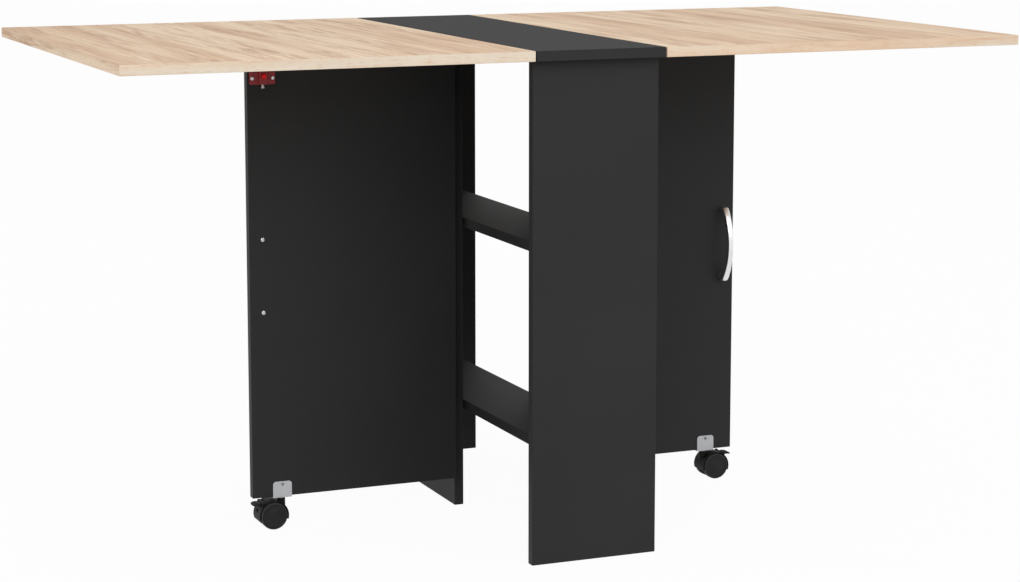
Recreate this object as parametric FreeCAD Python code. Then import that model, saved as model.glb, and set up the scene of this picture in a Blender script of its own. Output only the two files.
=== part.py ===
import FreeCAD, Part
import math
import os

# Folding gate-leg kitchen table, shown open. Lengths are millimetres.
# The floor is z = 0, X runs along the top, the front is towards -Y, and the origin is below the middle.
# The table looks the same when it is turned half round about Z, so the left half is modelled and turned.

V = FreeCAD.Vector
X = V(1, 0, 0)
Y = V(0, 1, 0)
Z = V(0, 0, 1)
ORIGIN = V(0, 0, 0)

# Boards of the top
TOP_LENGTH = 1400.0
TOP_DEPTH = 765.0
TOP_HEIGHT = 752.0
BOARD = 15.0
STRIP_WIDTH = 202.0
LEAF_GAP = 2.0
EDGE_ROUND = 0.8

# Pedestal
END_PANEL_SETBACK = 2.0
END_OVERHANG = 20.0
SIDE_INSET = 22.0
SHELF_SIDE_GAP = 2.5
UPPER_SHELF_TOP = 461.0
LOWER_SHELF_TOP = 169.0

# Flat-pack joints between the pedestal's boards
BLIND_FLOOR = 5.0
DOWEL_R = 4.0
DOWEL_IN_EDGE = 20.0
DOWEL_CLEARANCE = 0.05
CAM_R = 7.5
CAM_FLOOR = 3.0
CAM_SETBACK = 24.0
CAM_BOLT_R = 3.0
CAM_THREAD_R = 2.5
CAM_CLEARANCE = 0.1
SHELF_DOWEL_MARGIN = 20.0
TOP_DOWEL_MARGIN = 19.0
TOP_CAM_MARGIN = 49.0
SIDE_DOWEL_MARGIN = 70.0
SIDE_CAM_MARGIN = 120.0
SIDE_TOP_DOWEL_MARGIN = 95.0

# Gates
GATE_HEADROOM = 1.0
GATE_EDGE_GAP = 3.0
GATE_END_CLEARANCE = 11.5

# Butt hinges
KNUCKLE_R = 3.0
HINGE_PLATE = 1.5
HINGE_PLATE_WIDTH = 20.0
HINGE_LENGTH = 60.0
HINGE_SCREW_SPACING = 40.0
HINGE_SCREW_IN_PLATE = 13.0
KNUCKLE_PLAY = 0.3
HINGE_PIN_R = 1.4
PIN_CLEARANCE = 0.05
PIN_STANDOUT = 0.6
LEAF_HINGE_MARGIN = 152.0
GATE_HINGE_MARGIN = 110.0

# Screws: head radius, head height, shank radius, length
HINGE_SCREW = (2.6, 1.2, 1.4, 12.0)
CATCH_SCREW = (3.0, 1.8, 1.4, 14.0)
BRACKET_SCREW = (2.2, 1.4, 1.3, 8.0)
SCREW_TIP = 2.0
SCREW_CLEARANCE = 0.08
SCREW_CROWN = 0.6
SCREW_SKIRT = 0.4

# Bow handles
HANDLE_ABOVE_MIDDLE = 3.5
HANDLE_EDGE = 21.0
HANDLE_CENTRES = 112.0
HANDLE_FOOT = 12.0
HANDLE_REACH = 35.0
HANDLE_BAR = 4.8
HANDLE_POST = 15.0
HANDLE_POST_INSIDE = 6.0
HANDLE_FOOT_WIDTH = 12.5
HANDLE_WAIST = 8.4
HANDLE_SCREW_R = 2.0
HANDLE_SCREW_HEAD_R = 3.4
HANDLE_SCREW_HEAD = 1.8
HANDLE_SCREW_IN_FOOT = 5.0

# Slide-bolt catches on the inner faces of the gates
CATCH_WIDTH = 40.0
CATCH_HEIGHT = 19.0
CATCH_FLANGE = 4.0
CATCH_EDGE_GAP = 3.0
CATCH_DROP = 43.0
CATCH_SCREW_MARGIN = 4.0
CATCH_BARREL_WIDTH = 13.0
CATCH_BARREL_DEPTH = 9.5
CATCH_BARREL_TOP_GAP = 2.0
CATCH_ROUND = 2.0
BOLT_R = 3.0
BOLT_AXIS_DEPTH = 5.0
BOLT_CLEARANCE = 0.1
BOLT_TRAVEL = 12.0
BOLT_TIP_GAP = 0.5
BOLT_NECK_R = 1.6
BOLT_NECK = 1.8
BOLT_FLARE = 3.6
KNOB_ABOVE_SCREWS = 3.2
KNOB_R = 3.6
KNOB_THICKNESS = 5.0
KNOB_ROUND = 1.2
KNOB_STEM_R = 1.8
KNOB_STEM_IN_BOLT = 1.5
KNOB_GAP = 0.3
STRIKE_R = 8.0
STRIKE_BORE_PLAY = 2.0
STRIKE_DEPTH = 8.0
STRIKE_FLOOR = 1.0

# Glide on the gate's top edge that carries the leaf
REST_R = 5.5
REST_EDGE = 12.0
REST_LEAF_GAP = 0.2
REST_ROUND = 1.0
REST_SPIKE_R = 2.0
REST_SPIKE = 14.0

# Twin-wheel casters
CASTER_EDGE = 47.0
CASTER_TRAIL = 16.0
WHEEL_R = 21.0
WHEEL_WIDTH = 11.4
WHEEL_ROUND = 1.6
WHEEL_DISH = 0.8
WHEEL_DISH_R = 17.0
WHEEL_CAP_R = 6.0
WHEEL_SIDE_GAP = 0.8
WHEEL_SKIN = 3.0
AXLE_R = 2.0
AXLE_CLEARANCE = 0.05
HOOD_WEB = 13.0
HOOD_GAP = 0.8
HOOD_WALL = 1.7
HOOD_WIDTH = 34.0
HOOD_START = -16.0
HOOD_END = 200.0
HOOD_WEB_BELOW_AXLE = 7.0
CASTER_HEADROOM = 2.5
BOSS_R = 6.4
BOSS_TOP_GAP = 2.0
STEM_R = 4.0
STEM_CLEARANCE = 0.05
STEM_IN_BOSS = 18.0
BOSS_FLOOR = 2.0
RIVET_NECK_R = 2.5
RIVET_HEAD_R = 4.5
RIVET_HEAD = 2.0
RIVET_POCKET_GAP = 0.5
BRACKET_WIDTH = 30.0
BRACKET_HEIGHT = 25.5
BRACKET_SHEET = 1.5
BRACKET_WEB = 2.0
BRACKET_CORNER = 5.0
BRACKET_SCREW_FROM_TOP = 4.6
BRAKE_PIVOT_OUT = 3.5
BRAKE_PIVOT_ANGLE = 129.0
BRAKE_BARREL_R = 2.2
BRAKE_TRUNNION_R = 1.4
BRAKE_TRUNNION = 2.4
BRAKE_WIDTH = 22.0
BRAKE_SIDE_GAP = 0.3
BRAKE_EAR = 3.0
BRAKE_EAR_R = 2.8
BRAKE_SLOT_R = 5.2
BRAKE_REACH = 15.5
BRAKE_PADDLE = 2.4
BRAKE_PADDLE_DROP = 2.2
BRAKE_TOE_GAP = 0.4
BRAKE_TOE = 2.0
BRAKE_TOE_BACK_ANGLE = 14.0
BRAKE_CORNER = 3.0

# Planes that several pieces share
underside = TOP_HEIGHT - BOARD
half_depth = TOP_DEPTH / 2
half_strip = STRIP_WIDTH / 2
half_panel = half_strip - END_PANEL_SETBACK
panel_outer = half_depth - END_OVERHANG
panel_inner = panel_outer - BOARD
side_outer = half_panel - SIDE_INSET
side_inner = side_outer - BOARD
half_shelf = side_inner - SHELF_SIDE_GAP
leaf_root = half_strip + LEAF_GAP
fender_r = WHEEL_R + HOOD_GAP
hood_r = fender_r + HOOD_WALL
web_bottom = WHEEL_R + hood_r + CASTER_HEADROOM

# The left gate's hinge axis stands off the side panel's outer face by the knuckle's radius
gate_pivot_x = -side_outer - KNUCKLE_R
gate_outer_face = -KNUCKLE_R
gate_inner_face = gate_outer_face - BOARD
gate_middle = gate_outer_face - BOARD / 2
gate_root = gate_pivot_x - GATE_EDGE_GAP / 2
gate_width = panel_inner - GATE_EDGE_GAP / 2 - GATE_END_CLEARANCE
gate_free = gate_root - gate_width
gate_bottom = web_bottom + BRACKET_WEB
gate_top_gap = 2 * KNUCKLE_R + GATE_HEADROOM
gate_top = underside - gate_top_gap

nodes = {}


def turned(shape):
    """The same piece on the other side of the table."""
    return shape.rotated(ORIGIN, Z, 180)


def add_pair(name, solids):
    """Store the left piece and its turned twin, each as a node of its own."""
    nodes["left_" + name] = solids
    nodes["right_" + name] = [turned(solid) for solid in solids]


def both_sides(solids):
    return solids + [turned(solid) for solid in solids]


def box(x_range, y_range, z_range):
    low = V(min(x_range), min(y_range), min(z_range))
    high = V(max(x_range), max(y_range), max(z_range))
    size = high - low
    return Part.makeBox(size.x, size.y, size.z, low)


def rounded_board(x_range, y_range, z_range):
    """A board with its edging rounded over on every edge."""
    blank = box(x_range, y_range, z_range)
    return blank.makeFillet(EDGE_ROUND, blank.Edges)


def rod(start, direction, radius, length):
    return Part.makeCylinder(radius, length, start, direction)


def lathe(profile, start, direction):
    """Turn a closed (radius, height) outline about an axis that leaves start along direction."""
    points = [V(radius, 0, height) for radius, height in profile]
    outline = Part.Face(Part.makePolygon(points + points[:1]))
    solid = outline.revolve(ORIGIN, Z, 360)
    solid.Placement = FreeCAD.Placement(start, FreeCAD.Rotation(Z, direction))
    return solid


def joined(shapes):
    return shapes[0].multiFuse(shapes[1:]).removeSplitter()


def flat_screw(start, direction, sizes, grow=0.0):
    """Countersunk screw with its head's top at start. A positive grow gives the hole for it."""
    head_r, head, shank_r, length = sizes
    profile = [(0, 0), (head_r + grow, 0), (shank_r + grow, head + grow),
               (shank_r + grow, length - SCREW_TIP + grow), (0, length + grow)]
    return lathe(profile, start, direction)


def pan_screw(seat, direction, sizes, grow=0.0):
    """Pan-head screw seated at the point seat. A positive grow gives the hole for its shank."""
    head_r, head, shank_r, length = sizes
    shank = [(shank_r + grow, 0), (shank_r + grow, length - SCREW_TIP + grow), (0, length + grow)]
    crown = [(0, 0)] if grow else [(0, -head), (head_r * SCREW_CROWN, -head),
                                    (head_r, -head * SCREW_SKIRT), (head_r, 0)]
    return lathe(crown + shank, seat, direction)


def oriented(shape, origin, x_axis, y_axis):
    """Carry a shape from hinge coordinates to where its x and y axes point along the given ones."""
    turn = FreeCAD.Rotation(x_axis, y_axis, x_axis.cross(y_axis), "XYZ")
    moved = shape.copy()
    moved.Placement = FreeCAD.Placement(origin, turn).multiply(shape.Placement)
    return moved


# Butt hinge, about its own z axis. A half lies on the +x side, with its mounting face at y = -KNUCKLE_R.

hinge_end = HINGE_LENGTH / 2
knuckle_split = HINGE_LENGTH / 3 / 2
END_KNUCKLES = ((-hinge_end, -knuckle_split - KNUCKLE_PLAY), (knuckle_split + KNUCKLE_PLAY, hinge_end))
MIDDLE_KNUCKLE = ((-knuckle_split, knuckle_split),)
plate_back = -KNUCKLE_R
plate_front = plate_back + HINGE_PLATE
hinge_screw_points = [V(HINGE_SCREW_IN_PLATE, plate_front, side * HINGE_SCREW_SPACING / 2)
                      for side in (-1, 1)]


def hinge_half(knuckles):
    plate_start = KNUCKLE_R + KNUCKLE_PLAY
    shapes = [box((plate_start, HINGE_PLATE_WIDTH), (plate_back, plate_front), (-hinge_end, hinge_end))]
    for low, high in knuckles:
        shapes.append(box((0, plate_start), (plate_back, plate_front), (low, high)))
        shapes.append(rod(V(0, 0, low), Z, KNUCKLE_R, high - low))
    bore = rod(V(0, 0, -HINGE_LENGTH), Z, HINGE_PIN_R + PIN_CLEARANCE, HINGE_LENGTH * 2)
    holes = [flat_screw(point, -Y, HINGE_SCREW, SCREW_CLEARANCE) for point in hinge_screw_points]
    return joined(shapes).cut([bore] + holes)


def hinge_pin():
    return rod(V(0, 0, -hinge_end - PIN_STANDOUT), Z, HINGE_PIN_R, HINGE_LENGTH + 2 * PIN_STANDOUT)


def hinge_screws(grow=0.0):
    return [flat_screw(point, -Y, HINGE_SCREW, grow) for point in hinge_screw_points]


# Where the left leaf's and the left gate's hinges sit

leaf_pivot_x = -half_strip - LEAF_GAP / 2
leaf_pivot_z = underside - KNUCKLE_R
leaf_hinge_points = [V(leaf_pivot_x, side * (half_depth - LEAF_HINGE_MARGIN), leaf_pivot_z)
                     for side in (-1, 1)]
gate_hinge_points = [V(gate_pivot_x, 0, height)
                     for height in (gate_bottom + GATE_HINGE_MARGIN, gate_top - GATE_HINGE_MARGIN)]


def at_hinges(shapes, points, x_axis, y_axis):
    return [oriented(shape, point, x_axis, y_axis) for point in points for shape in shapes]


def on_strip(shapes):
    return at_hinges(shapes, leaf_hinge_points, X, -Z)


def on_leaf(shapes):
    return at_hinges(shapes, leaf_hinge_points, -X, -Z)


def on_side_panel(shapes):
    return at_hinges(shapes, gate_hinge_points, Y, -X)


def on_gate(shapes):
    return at_hinges(shapes, gate_hinge_points, -X, Y)


# Flat-pack joints. Each one starts on the plane where two boards meet and runs into the second board's edge.

shelf_tops = (UPPER_SHELF_TOP, LOWER_SHELF_TOP)
blind_depth = BOARD - BLIND_FLOOR
dowel_places = []
cam_places = []
for shelf_top in shelf_tops:
    shelf_middle = shelf_top - BOARD / 2
    for side in (-1, 1):
        dowel_places.append((V(side * (half_shelf - SHELF_DOWEL_MARGIN), -panel_inner, shelf_middle), Y))
    cam_places.append((V(0, -panel_inner, shelf_middle), Y, -Z))
for side in (-1, 1):
    panel_middle = -panel_inner - BOARD / 2
    dowel_places.append((V(side * (half_panel - TOP_DOWEL_MARGIN), panel_middle, underside), -Z))
    cam_places.append((V(side * (half_panel - TOP_CAM_MARGIN), panel_middle, underside), -Z, Y))
side_middle = -side_inner - BOARD / 2
for height in (SIDE_DOWEL_MARGIN, underside / 2, underside - SIDE_DOWEL_MARGIN):
    dowel_places.append((V(side_middle, panel_inner, height), -Y))
for height in (SIDE_CAM_MARGIN, underside - SIDE_CAM_MARGIN):
    cam_places.append((V(side_middle, panel_inner, height), -Y, X))
for depth in (SIDE_TOP_DOWEL_MARGIN, panel_inner - SIDE_TOP_DOWEL_MARGIN):
    dowel_places.append((V(side_middle, depth, underside), -Z))


def dowel(point, direction, grow=0.0):
    length = blind_depth + DOWEL_IN_EDGE + 2 * grow
    return rod(point - direction * (blind_depth + grow), direction, DOWEL_R + grow, length)


def cam_bolt(point, direction, grow=0.0):
    """Bolt screwed into one board's face, with its head in the cam of the other board."""
    profile = [(0, -blind_depth - grow), (CAM_THREAD_R + grow, -blind_depth - grow), (CAM_THREAD_R + grow, 0),
               (CAM_BOLT_R + grow, 0), (CAM_BOLT_R + grow, CAM_SETBACK + grow), (0, CAM_SETBACK + grow)]
    return lathe(profile, point, direction)


def cam_blank(point, direction, face, grow=0.0):
    """Cam disc, flush with the board's face that looks along face."""
    start = point + direction * CAM_SETBACK + face * (BOARD / 2)
    return rod(start, -face, CAM_R + grow, BOARD - CAM_FLOOR + grow)


def cam_lock(point, direction, face):
    return cam_blank(point, direction, face).cut(cam_bolt(point, direction, CAM_CLEARANCE))


joint_holes = [dowel(point, direction, DOWEL_CLEARANCE) for point, direction in dowel_places]
for point, direction, face in cam_places:
    joint_holes.append(cam_bolt(point, direction, CAM_CLEARANCE))
    joint_holes.append(cam_blank(point, direction, face, CAM_CLEARANCE))
joint_holes = both_sides(joint_holes)
nodes["panel_dowels"] = both_sides([dowel(point, direction) for point, direction in dowel_places])
nodes["cam_bolts"] = both_sides([cam_bolt(point, direction) for point, direction, face in cam_places])
nodes["cam_locks"] = both_sides([cam_lock(*place) for place in cam_places])

# Pedestal boards

strip_screws = on_strip(hinge_screws())
strip_screw_holes = both_sides(on_strip(hinge_screws(SCREW_CLEARANCE)))
strip = rounded_board((-half_strip, half_strip), (-half_depth, half_depth), (underside, TOP_HEIGHT))
nodes["center_top"] = [strip.cut(joint_holes + strip_screw_holes)]

end_panel = rounded_board((-half_panel, half_panel), (-panel_outer, -panel_inner), (0, underside))
front_panel = end_panel.cut(joint_holes)
nodes["front_end_panel"] = [front_panel]
nodes["rear_end_panel"] = [turned(front_panel)]

side_screws = on_side_panel(hinge_screws())
side_panel = rounded_board((-side_outer, -side_inner), (GATE_EDGE_GAP / 2, panel_inner), (0, underside))
add_pair("side_panel", [side_panel.cut(joint_holes + on_side_panel(hinge_screws(SCREW_CLEARANCE)))])

for name, shelf_top in zip(("upper_shelf", "lower_shelf"), shelf_tops):
    shelf = rounded_board((-half_shelf, half_shelf), (-panel_inner, panel_inner),
                          (shelf_top - BOARD, shelf_top))
    nodes[name] = [shelf.cut(joint_holes)]

# Fixed hinge halves on the pedestal, with the pins

nodes["leaf_hinge_fixed_plates"] = both_sides(on_strip([hinge_half(END_KNUCKLES)]))
nodes["leaf_hinge_pins"] = both_sides(on_strip([hinge_pin()]))
nodes["gate_hinge_fixed_plates"] = both_sides(on_side_panel([hinge_half(END_KNUCKLES)]))
nodes["gate_hinge_pins"] = both_sides(on_side_panel([hinge_pin()]))
nodes["pedestal_hinge_screws"] = both_sides(strip_screws + side_screws)

# Leaves, with the strike bush that the catch bolt enters

catch_x = gate_free + CATCH_EDGE_GAP + CATCH_WIDTH / 2
bolt_y = gate_inner_face - BOLT_AXIS_DEPTH
strike_mouth = V(catch_x, bolt_y, underside)
strike_bore = [(BOLT_R + STRIKE_BORE_PLAY, 0), (BOLT_R + STRIKE_BORE_PLAY, STRIKE_DEPTH - STRIKE_FLOOR),
               (0, STRIKE_DEPTH - STRIKE_FLOOR)]
strike = lathe([(STRIKE_R, 0)] + strike_bore + [(0, STRIKE_DEPTH), (STRIKE_R, STRIKE_DEPTH)], strike_mouth, Z)
strike_pocket = rod(strike_mouth, Z, STRIKE_R + SCREW_CLEARANCE, STRIKE_DEPTH + SCREW_CLEARANCE)
leaf = rounded_board((-TOP_LENGTH / 2, -leaf_root), (-half_depth, half_depth), (underside, TOP_HEIGHT))
add_pair("leaf", [leaf.cut([strike_pocket] + on_leaf(hinge_screws(SCREW_CLEARANCE)))])
add_pair("leaf_strike", [strike])
add_pair("leaf_hinge_plates", on_leaf([hinge_half(MIDDLE_KNUCKLE)]))
add_pair("leaf_hinge_screws", on_leaf(hinge_screws()))

# Handle: a bow in the plane of its screws, narrowed to a waist, with rounded feet

handle_x = gate_free + HANDLE_EDGE
handle_z = (gate_bottom + gate_top) / 2 + HANDLE_ABOVE_MIDDLE
handle_end = (HANDLE_CENTRES + HANDLE_FOOT) / 2
handle_inside = (HANDLE_CENTRES - HANDLE_FOOT) / 2


def handle_point(along, out):
    return V(handle_x, gate_outer_face + out, handle_z + along)


def waist_point(along, half_width):
    return V(handle_x + half_width, gate_outer_face, handle_z + along)


def handle():
    bow = [Part.makeLine(handle_point(-handle_end, 0), handle_point(-handle_end, HANDLE_POST)),
           Part.Arc(handle_point(-handle_end, HANDLE_POST), handle_point(0, HANDLE_REACH),
                    handle_point(handle_end, HANDLE_POST)).toShape(),
           Part.makeLine(handle_point(handle_end, HANDLE_POST), handle_point(handle_end, 0)),
           Part.makeLine(handle_point(handle_end, 0), handle_point(handle_inside, 0)),
           Part.makeLine(handle_point(handle_inside, 0), handle_point(handle_inside, HANDLE_POST_INSIDE)),
           Part.Arc(handle_point(handle_inside, HANDLE_POST_INSIDE),
                    handle_point(0, HANDLE_REACH - HANDLE_BAR),
                    handle_point(-handle_inside, HANDLE_POST_INSIDE)).toShape(),
           Part.makeLine(handle_point(-handle_inside, HANDLE_POST_INSIDE), handle_point(-handle_inside, 0)),
           Part.makeLine(handle_point(-handle_inside, 0), handle_point(-handle_end, 0))]
    side_view = Part.Face(Part.Wire(bow)).extrude(X * (2 * HANDLE_FOOT_WIDTH))
    side_view.translate(-X * HANDLE_FOOT_WIDTH)
    foot = HANDLE_FOOT_WIDTH / 2
    square = handle_end - foot
    outline = [Part.Arc(waist_point(-square, foot), waist_point(0, HANDLE_WAIST / 2),
                        waist_point(square, foot)).toShape(),
               Part.Arc(waist_point(square, foot), waist_point(handle_end, 0),
                        waist_point(square, -foot)).toShape(),
               Part.Arc(waist_point(square, -foot), waist_point(0, -HANDLE_WAIST / 2),
                        waist_point(-square, -foot)).toShape(),
               Part.Arc(waist_point(-square, -foot), waist_point(-handle_end, 0),
                        waist_point(-square, foot)).toShape()]
    front_view = Part.Face(Part.Wire(outline)).extrude(Y * HANDLE_REACH)
    return side_view.common(front_view)


handle_screw_sizes = (HANDLE_SCREW_HEAD_R, HANDLE_SCREW_HEAD, HANDLE_SCREW_R, BOARD + HANDLE_SCREW_IN_FOOT)
handle_seats = [V(handle_x, gate_inner_face, handle_z + side * HANDLE_CENTRES / 2) for side in (-1, 1)]
handle_holes = [pan_screw(seat, Y, handle_screw_sizes, SCREW_CLEARANCE) for seat in handle_seats]
add_pair("handle", [handle().cut(handle_holes)])
add_pair("handle_screws", [pan_screw(seat, Y, handle_screw_sizes) for seat in handle_seats])

# Catch: a flange with two screws and a barrel that guides the bolt up to the gate's top edge

catch_z = underside - CATCH_DROP
catch_bottom = catch_z - CATCH_HEIGHT / 2
knob_z = catch_z + KNOB_ABOVE_SCREWS
barrel_top = gate_top - CATCH_BARREL_TOP_GAP
barrel_front = gate_inner_face - CATCH_BARREL_DEPTH
flange_front = gate_inner_face - CATCH_FLANGE


def edges_along(shape, axis):
    """The edges of a block that run along one of its axes."""
    return [edge for edge in shape.Edges if round(abs(edge.tangentAt(edge.FirstParameter).dot(axis))) == 1]


def rounded_plate(x_range, y_range, z_range, corner):
    """A flat piece standing across Y, with its four corners rounded."""
    blank = box(x_range, y_range, z_range)
    return blank.makeFillet(corner, edges_along(blank, Y))


flange = rounded_plate((catch_x - CATCH_WIDTH / 2, catch_x + CATCH_WIDTH / 2),
                       (flange_front, gate_inner_face), (catch_bottom, catch_bottom + CATCH_HEIGHT),
                       CATCH_ROUND)
barrel = rounded_plate((catch_x - CATCH_BARREL_WIDTH / 2, catch_x + CATCH_BARREL_WIDTH / 2),
                       (barrel_front, gate_inner_face), (catch_bottom, barrel_top), CATCH_ROUND)
bolt_bore = rod(V(catch_x, bolt_y, 0), Z, BOLT_R + BOLT_CLEARANCE, TOP_HEIGHT)
slot_half = KNOB_STEM_R + BOLT_CLEARANCE
knob_slot = box((catch_x - slot_half, catch_x + slot_half), (barrel_front, bolt_y),
                (knob_z - slot_half, knob_z + BOLT_TRAVEL + slot_half))
catch_seats = [V(catch_x + side * (CATCH_WIDTH / 2 - CATCH_SCREW_MARGIN), flange_front, catch_z)
               for side in (-1, 1)]
catch_holes = [pan_screw(seat, Y, CATCH_SCREW, SCREW_CLEARANCE) for seat in catch_seats]
add_pair("catch_housing", [joined([flange, barrel]).cut([bolt_bore, knob_slot] + catch_holes)])
add_pair("catch_screws", [pan_screw(seat, Y, CATCH_SCREW) for seat in catch_seats])

# Catch bolt: a steel rod with a necked, flared tail below the housing, and a thumb knob on its front

bolt_top = gate_top - BOLT_TIP_GAP
tail_neck = catch_bottom - BOLT_NECK
tail_end = tail_neck - BOLT_FLARE
bolt_profile = [(0, tail_end), (BOLT_R, tail_end), (BOLT_NECK_R, tail_neck), (BOLT_NECK_R, catch_bottom),
                (BOLT_R, catch_bottom), (BOLT_R, bolt_top), (0, bolt_top)]
knob_seat = bolt_y - BOLT_R + KNOB_STEM_IN_BOLT
knob_back = barrel_front - KNOB_GAP
stem_hole = rod(V(catch_x, knob_seat + SCREW_CLEARANCE, knob_z), -Y, KNOB_STEM_R + SCREW_CLEARANCE, BOLT_R)
add_pair("catch_bolt", [lathe(bolt_profile, V(catch_x, bolt_y, 0), Z).cut(stem_hole)])
stem_length = knob_seat - knob_back
knob_front = stem_length + KNOB_THICKNESS
knob_profile = [(0, 0), (KNOB_STEM_R, 0), (KNOB_STEM_R, stem_length), (KNOB_R, stem_length),
                (KNOB_R, knob_front - KNOB_ROUND), (KNOB_R - KNOB_ROUND, knob_front), (0, knob_front)]
add_pair("catch_knob", [lathe(knob_profile, V(catch_x, knob_seat, knob_z), -Y)])

# Leaf rest: a glide driven into the gate's top edge

rest_foot = V(gate_free + REST_EDGE, gate_middle, gate_top)
rest_top = gate_top_gap - REST_LEAF_GAP
rest_profile = [(0, -REST_SPIKE), (REST_SPIKE_R, -REST_SPIKE), (REST_SPIKE_R, 0), (REST_R, 0),
                (REST_R, rest_top - REST_ROUND), (REST_R - REST_ROUND, rest_top), (0, rest_top)]
add_pair("leaf_rest", [lathe(rest_profile, rest_foot, Z)])
rest_hole = rod(rest_foot, -Z, REST_SPIKE_R + SCREW_CLEARANCE, REST_SPIKE + SCREW_CLEARANCE)

# Caster bracket: a steel U over the gate's bottom edge, with the swivel stem riveted through its web

stem_x = gate_free + CASTER_EDGE
bracket_x = (stem_x - BRACKET_WIDTH / 2, stem_x + BRACKET_WIDTH / 2)
bracket_y = (gate_inner_face - BRACKET_SHEET, gate_outer_face + BRACKET_SHEET)
bracket_top = web_bottom + BRACKET_HEIGHT
bracket_blank = rounded_plate(bracket_x, bracket_y, (0, bracket_top), BRACKET_CORNER)
below_web = box(bracket_x, bracket_y, (0, web_bottom))
gate_room = box(bracket_x, (gate_inner_face, gate_outer_face), (gate_bottom, underside))
stem_axis = V(stem_x, gate_middle, 0)
rivet_hole = rod(stem_axis, Z, RIVET_NECK_R + SCREW_CLEARANCE, underside)
bracket_screw_z = bracket_top - BRACKET_SCREW_FROM_TOP
bracket_seats = [(V(stem_x, bracket_y[0], bracket_screw_z), Y),
                 (V(stem_x, bracket_y[1], bracket_screw_z), -Y)]
bracket_holes = [pan_screw(seat, into, BRACKET_SCREW, SCREW_CLEARANCE) for seat, into in bracket_seats]
add_pair("caster_bracket", [bracket_blank.cut([below_web, gate_room, rivet_hole] + bracket_holes)])
add_pair("caster_bracket_screws", [pan_screw(seat, into, BRACKET_SCREW) for seat, into in bracket_seats])

boss_top = web_bottom - BOSS_TOP_GAP
stem_end = boss_top - STEM_IN_BOSS
rivet_top = gate_bottom + RIVET_HEAD
stem_profile = [(0, stem_end), (STEM_R, stem_end), (STEM_R, web_bottom), (RIVET_NECK_R, web_bottom),
                (RIVET_NECK_R, gate_bottom), (RIVET_HEAD_R, gate_bottom), (RIVET_NECK_R, rivet_top),
                (0, rivet_top)]
add_pair("caster_stem", [lathe(stem_profile, stem_axis, Z)])
rivet_pocket = rod(V(stem_x, gate_middle, gate_bottom), Z, RIVET_HEAD_R + RIVET_POCKET_GAP,
                   RIVET_HEAD + RIVET_POCKET_GAP)

# Gate panel

gate = rounded_board((gate_free, gate_root), (gate_inner_face, gate_outer_face), (gate_bottom, gate_top))
gate_holes = on_gate(hinge_screws(SCREW_CLEARANCE)) + handle_holes + catch_holes + bracket_holes
add_pair("gate", [gate.cut(gate_holes + [rest_hole, rivet_pocket])])
add_pair("gate_hinge_plates", on_gate([hinge_half(MIDDLE_KNUCKLE)]))
add_pair("gate_hinge_screws", on_gate(hinge_screws()))

# Caster body: a web between the wheels, a fender over them and a boss on the stem

axle_centre = V(stem_x - CASTER_TRAIL, gate_middle, WHEEL_R)
axle_end = HOOD_WEB / 2 + WHEEL_SIDE_GAP + WHEEL_WIDTH - WHEEL_SKIN


def round_axle(radius, degrees, across=0.0):
    """A point at a radius and angle about the axle, and so far across along it."""
    angle = math.radians(degrees)
    return axle_centre + V(radius * math.cos(angle), across, radius * math.sin(angle))


def across_rod(centre, radius, half_width):
    return rod(centre - Y * half_width, Y, radius, 2 * half_width)


def fender():
    half = HOOD_WIDTH / 2
    middle = (HOOD_START + HOOD_END) / 2
    outer = Part.Arc(*[round_axle(hood_r, angle, -half) for angle in (HOOD_START, middle, HOOD_END)])
    inner = Part.Arc(*[round_axle(fender_r, angle, -half) for angle in (HOOD_END, middle, HOOD_START)])
    ends = [Part.makeLine(round_axle(hood_r, HOOD_END, -half), round_axle(fender_r, HOOD_END, -half)),
            Part.makeLine(round_axle(fender_r, HOOD_START, -half), round_axle(hood_r, HOOD_START, -half))]
    wire = Part.Wire([outer.toShape(), ends[0], inner.toShape(), ends[1]])
    return Part.Face(wire).extrude(Y * HOOD_WIDTH)


brake_pivot = round_axle(WHEEL_R + BRAKE_PIVOT_OUT, BRAKE_PIVOT_ANGLE)
brake_half = BRAKE_WIDTH / 2
slot_side = brake_half + BRAKE_SIDE_GAP
ear_end = slot_side + BRAKE_EAR


def hood():
    web = across_rod(axle_centre, hood_r, HOOD_WEB / 2)
    web_floor = axle_centre.z - HOOD_WEB_BELOW_AXLE
    web = web.cut(box((axle_centre.x - WHEEL_R * 2, axle_centre.x + WHEEL_R * 2),
                      (axle_centre.y - HOOD_WIDTH, axle_centre.y + HOOD_WIDTH), (-WHEEL_R, web_floor)))
    boss_floor = stem_end - BOSS_FLOOR
    boss = rod(V(stem_x, gate_middle, boss_floor), Z, BOSS_R, boss_top - boss_floor)
    ears = across_rod(brake_pivot, BRAKE_EAR_R, ear_end)
    body = joined([web, fender(), boss, ears])
    cuts = [across_rod(brake_pivot, BRAKE_SLOT_R, slot_side),
            across_rod(brake_pivot, BRAKE_TRUNNION_R + PIN_CLEARANCE, ear_end),
            across_rod(axle_centre, AXLE_R + AXLE_CLEARANCE, HOOD_WEB),
            rod(V(stem_x, gate_middle, stem_end), Z, STEM_R + STEM_CLEARANCE, TOP_HEIGHT)]
    return body.cut(cuts)


add_pair("caster_hood", [hood()])
add_pair("caster_axle", [across_rod(axle_centre, AXLE_R, axle_end)])

# Wheels: the outer face is dished round a cap, and the axle ends in a blind bore

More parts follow.
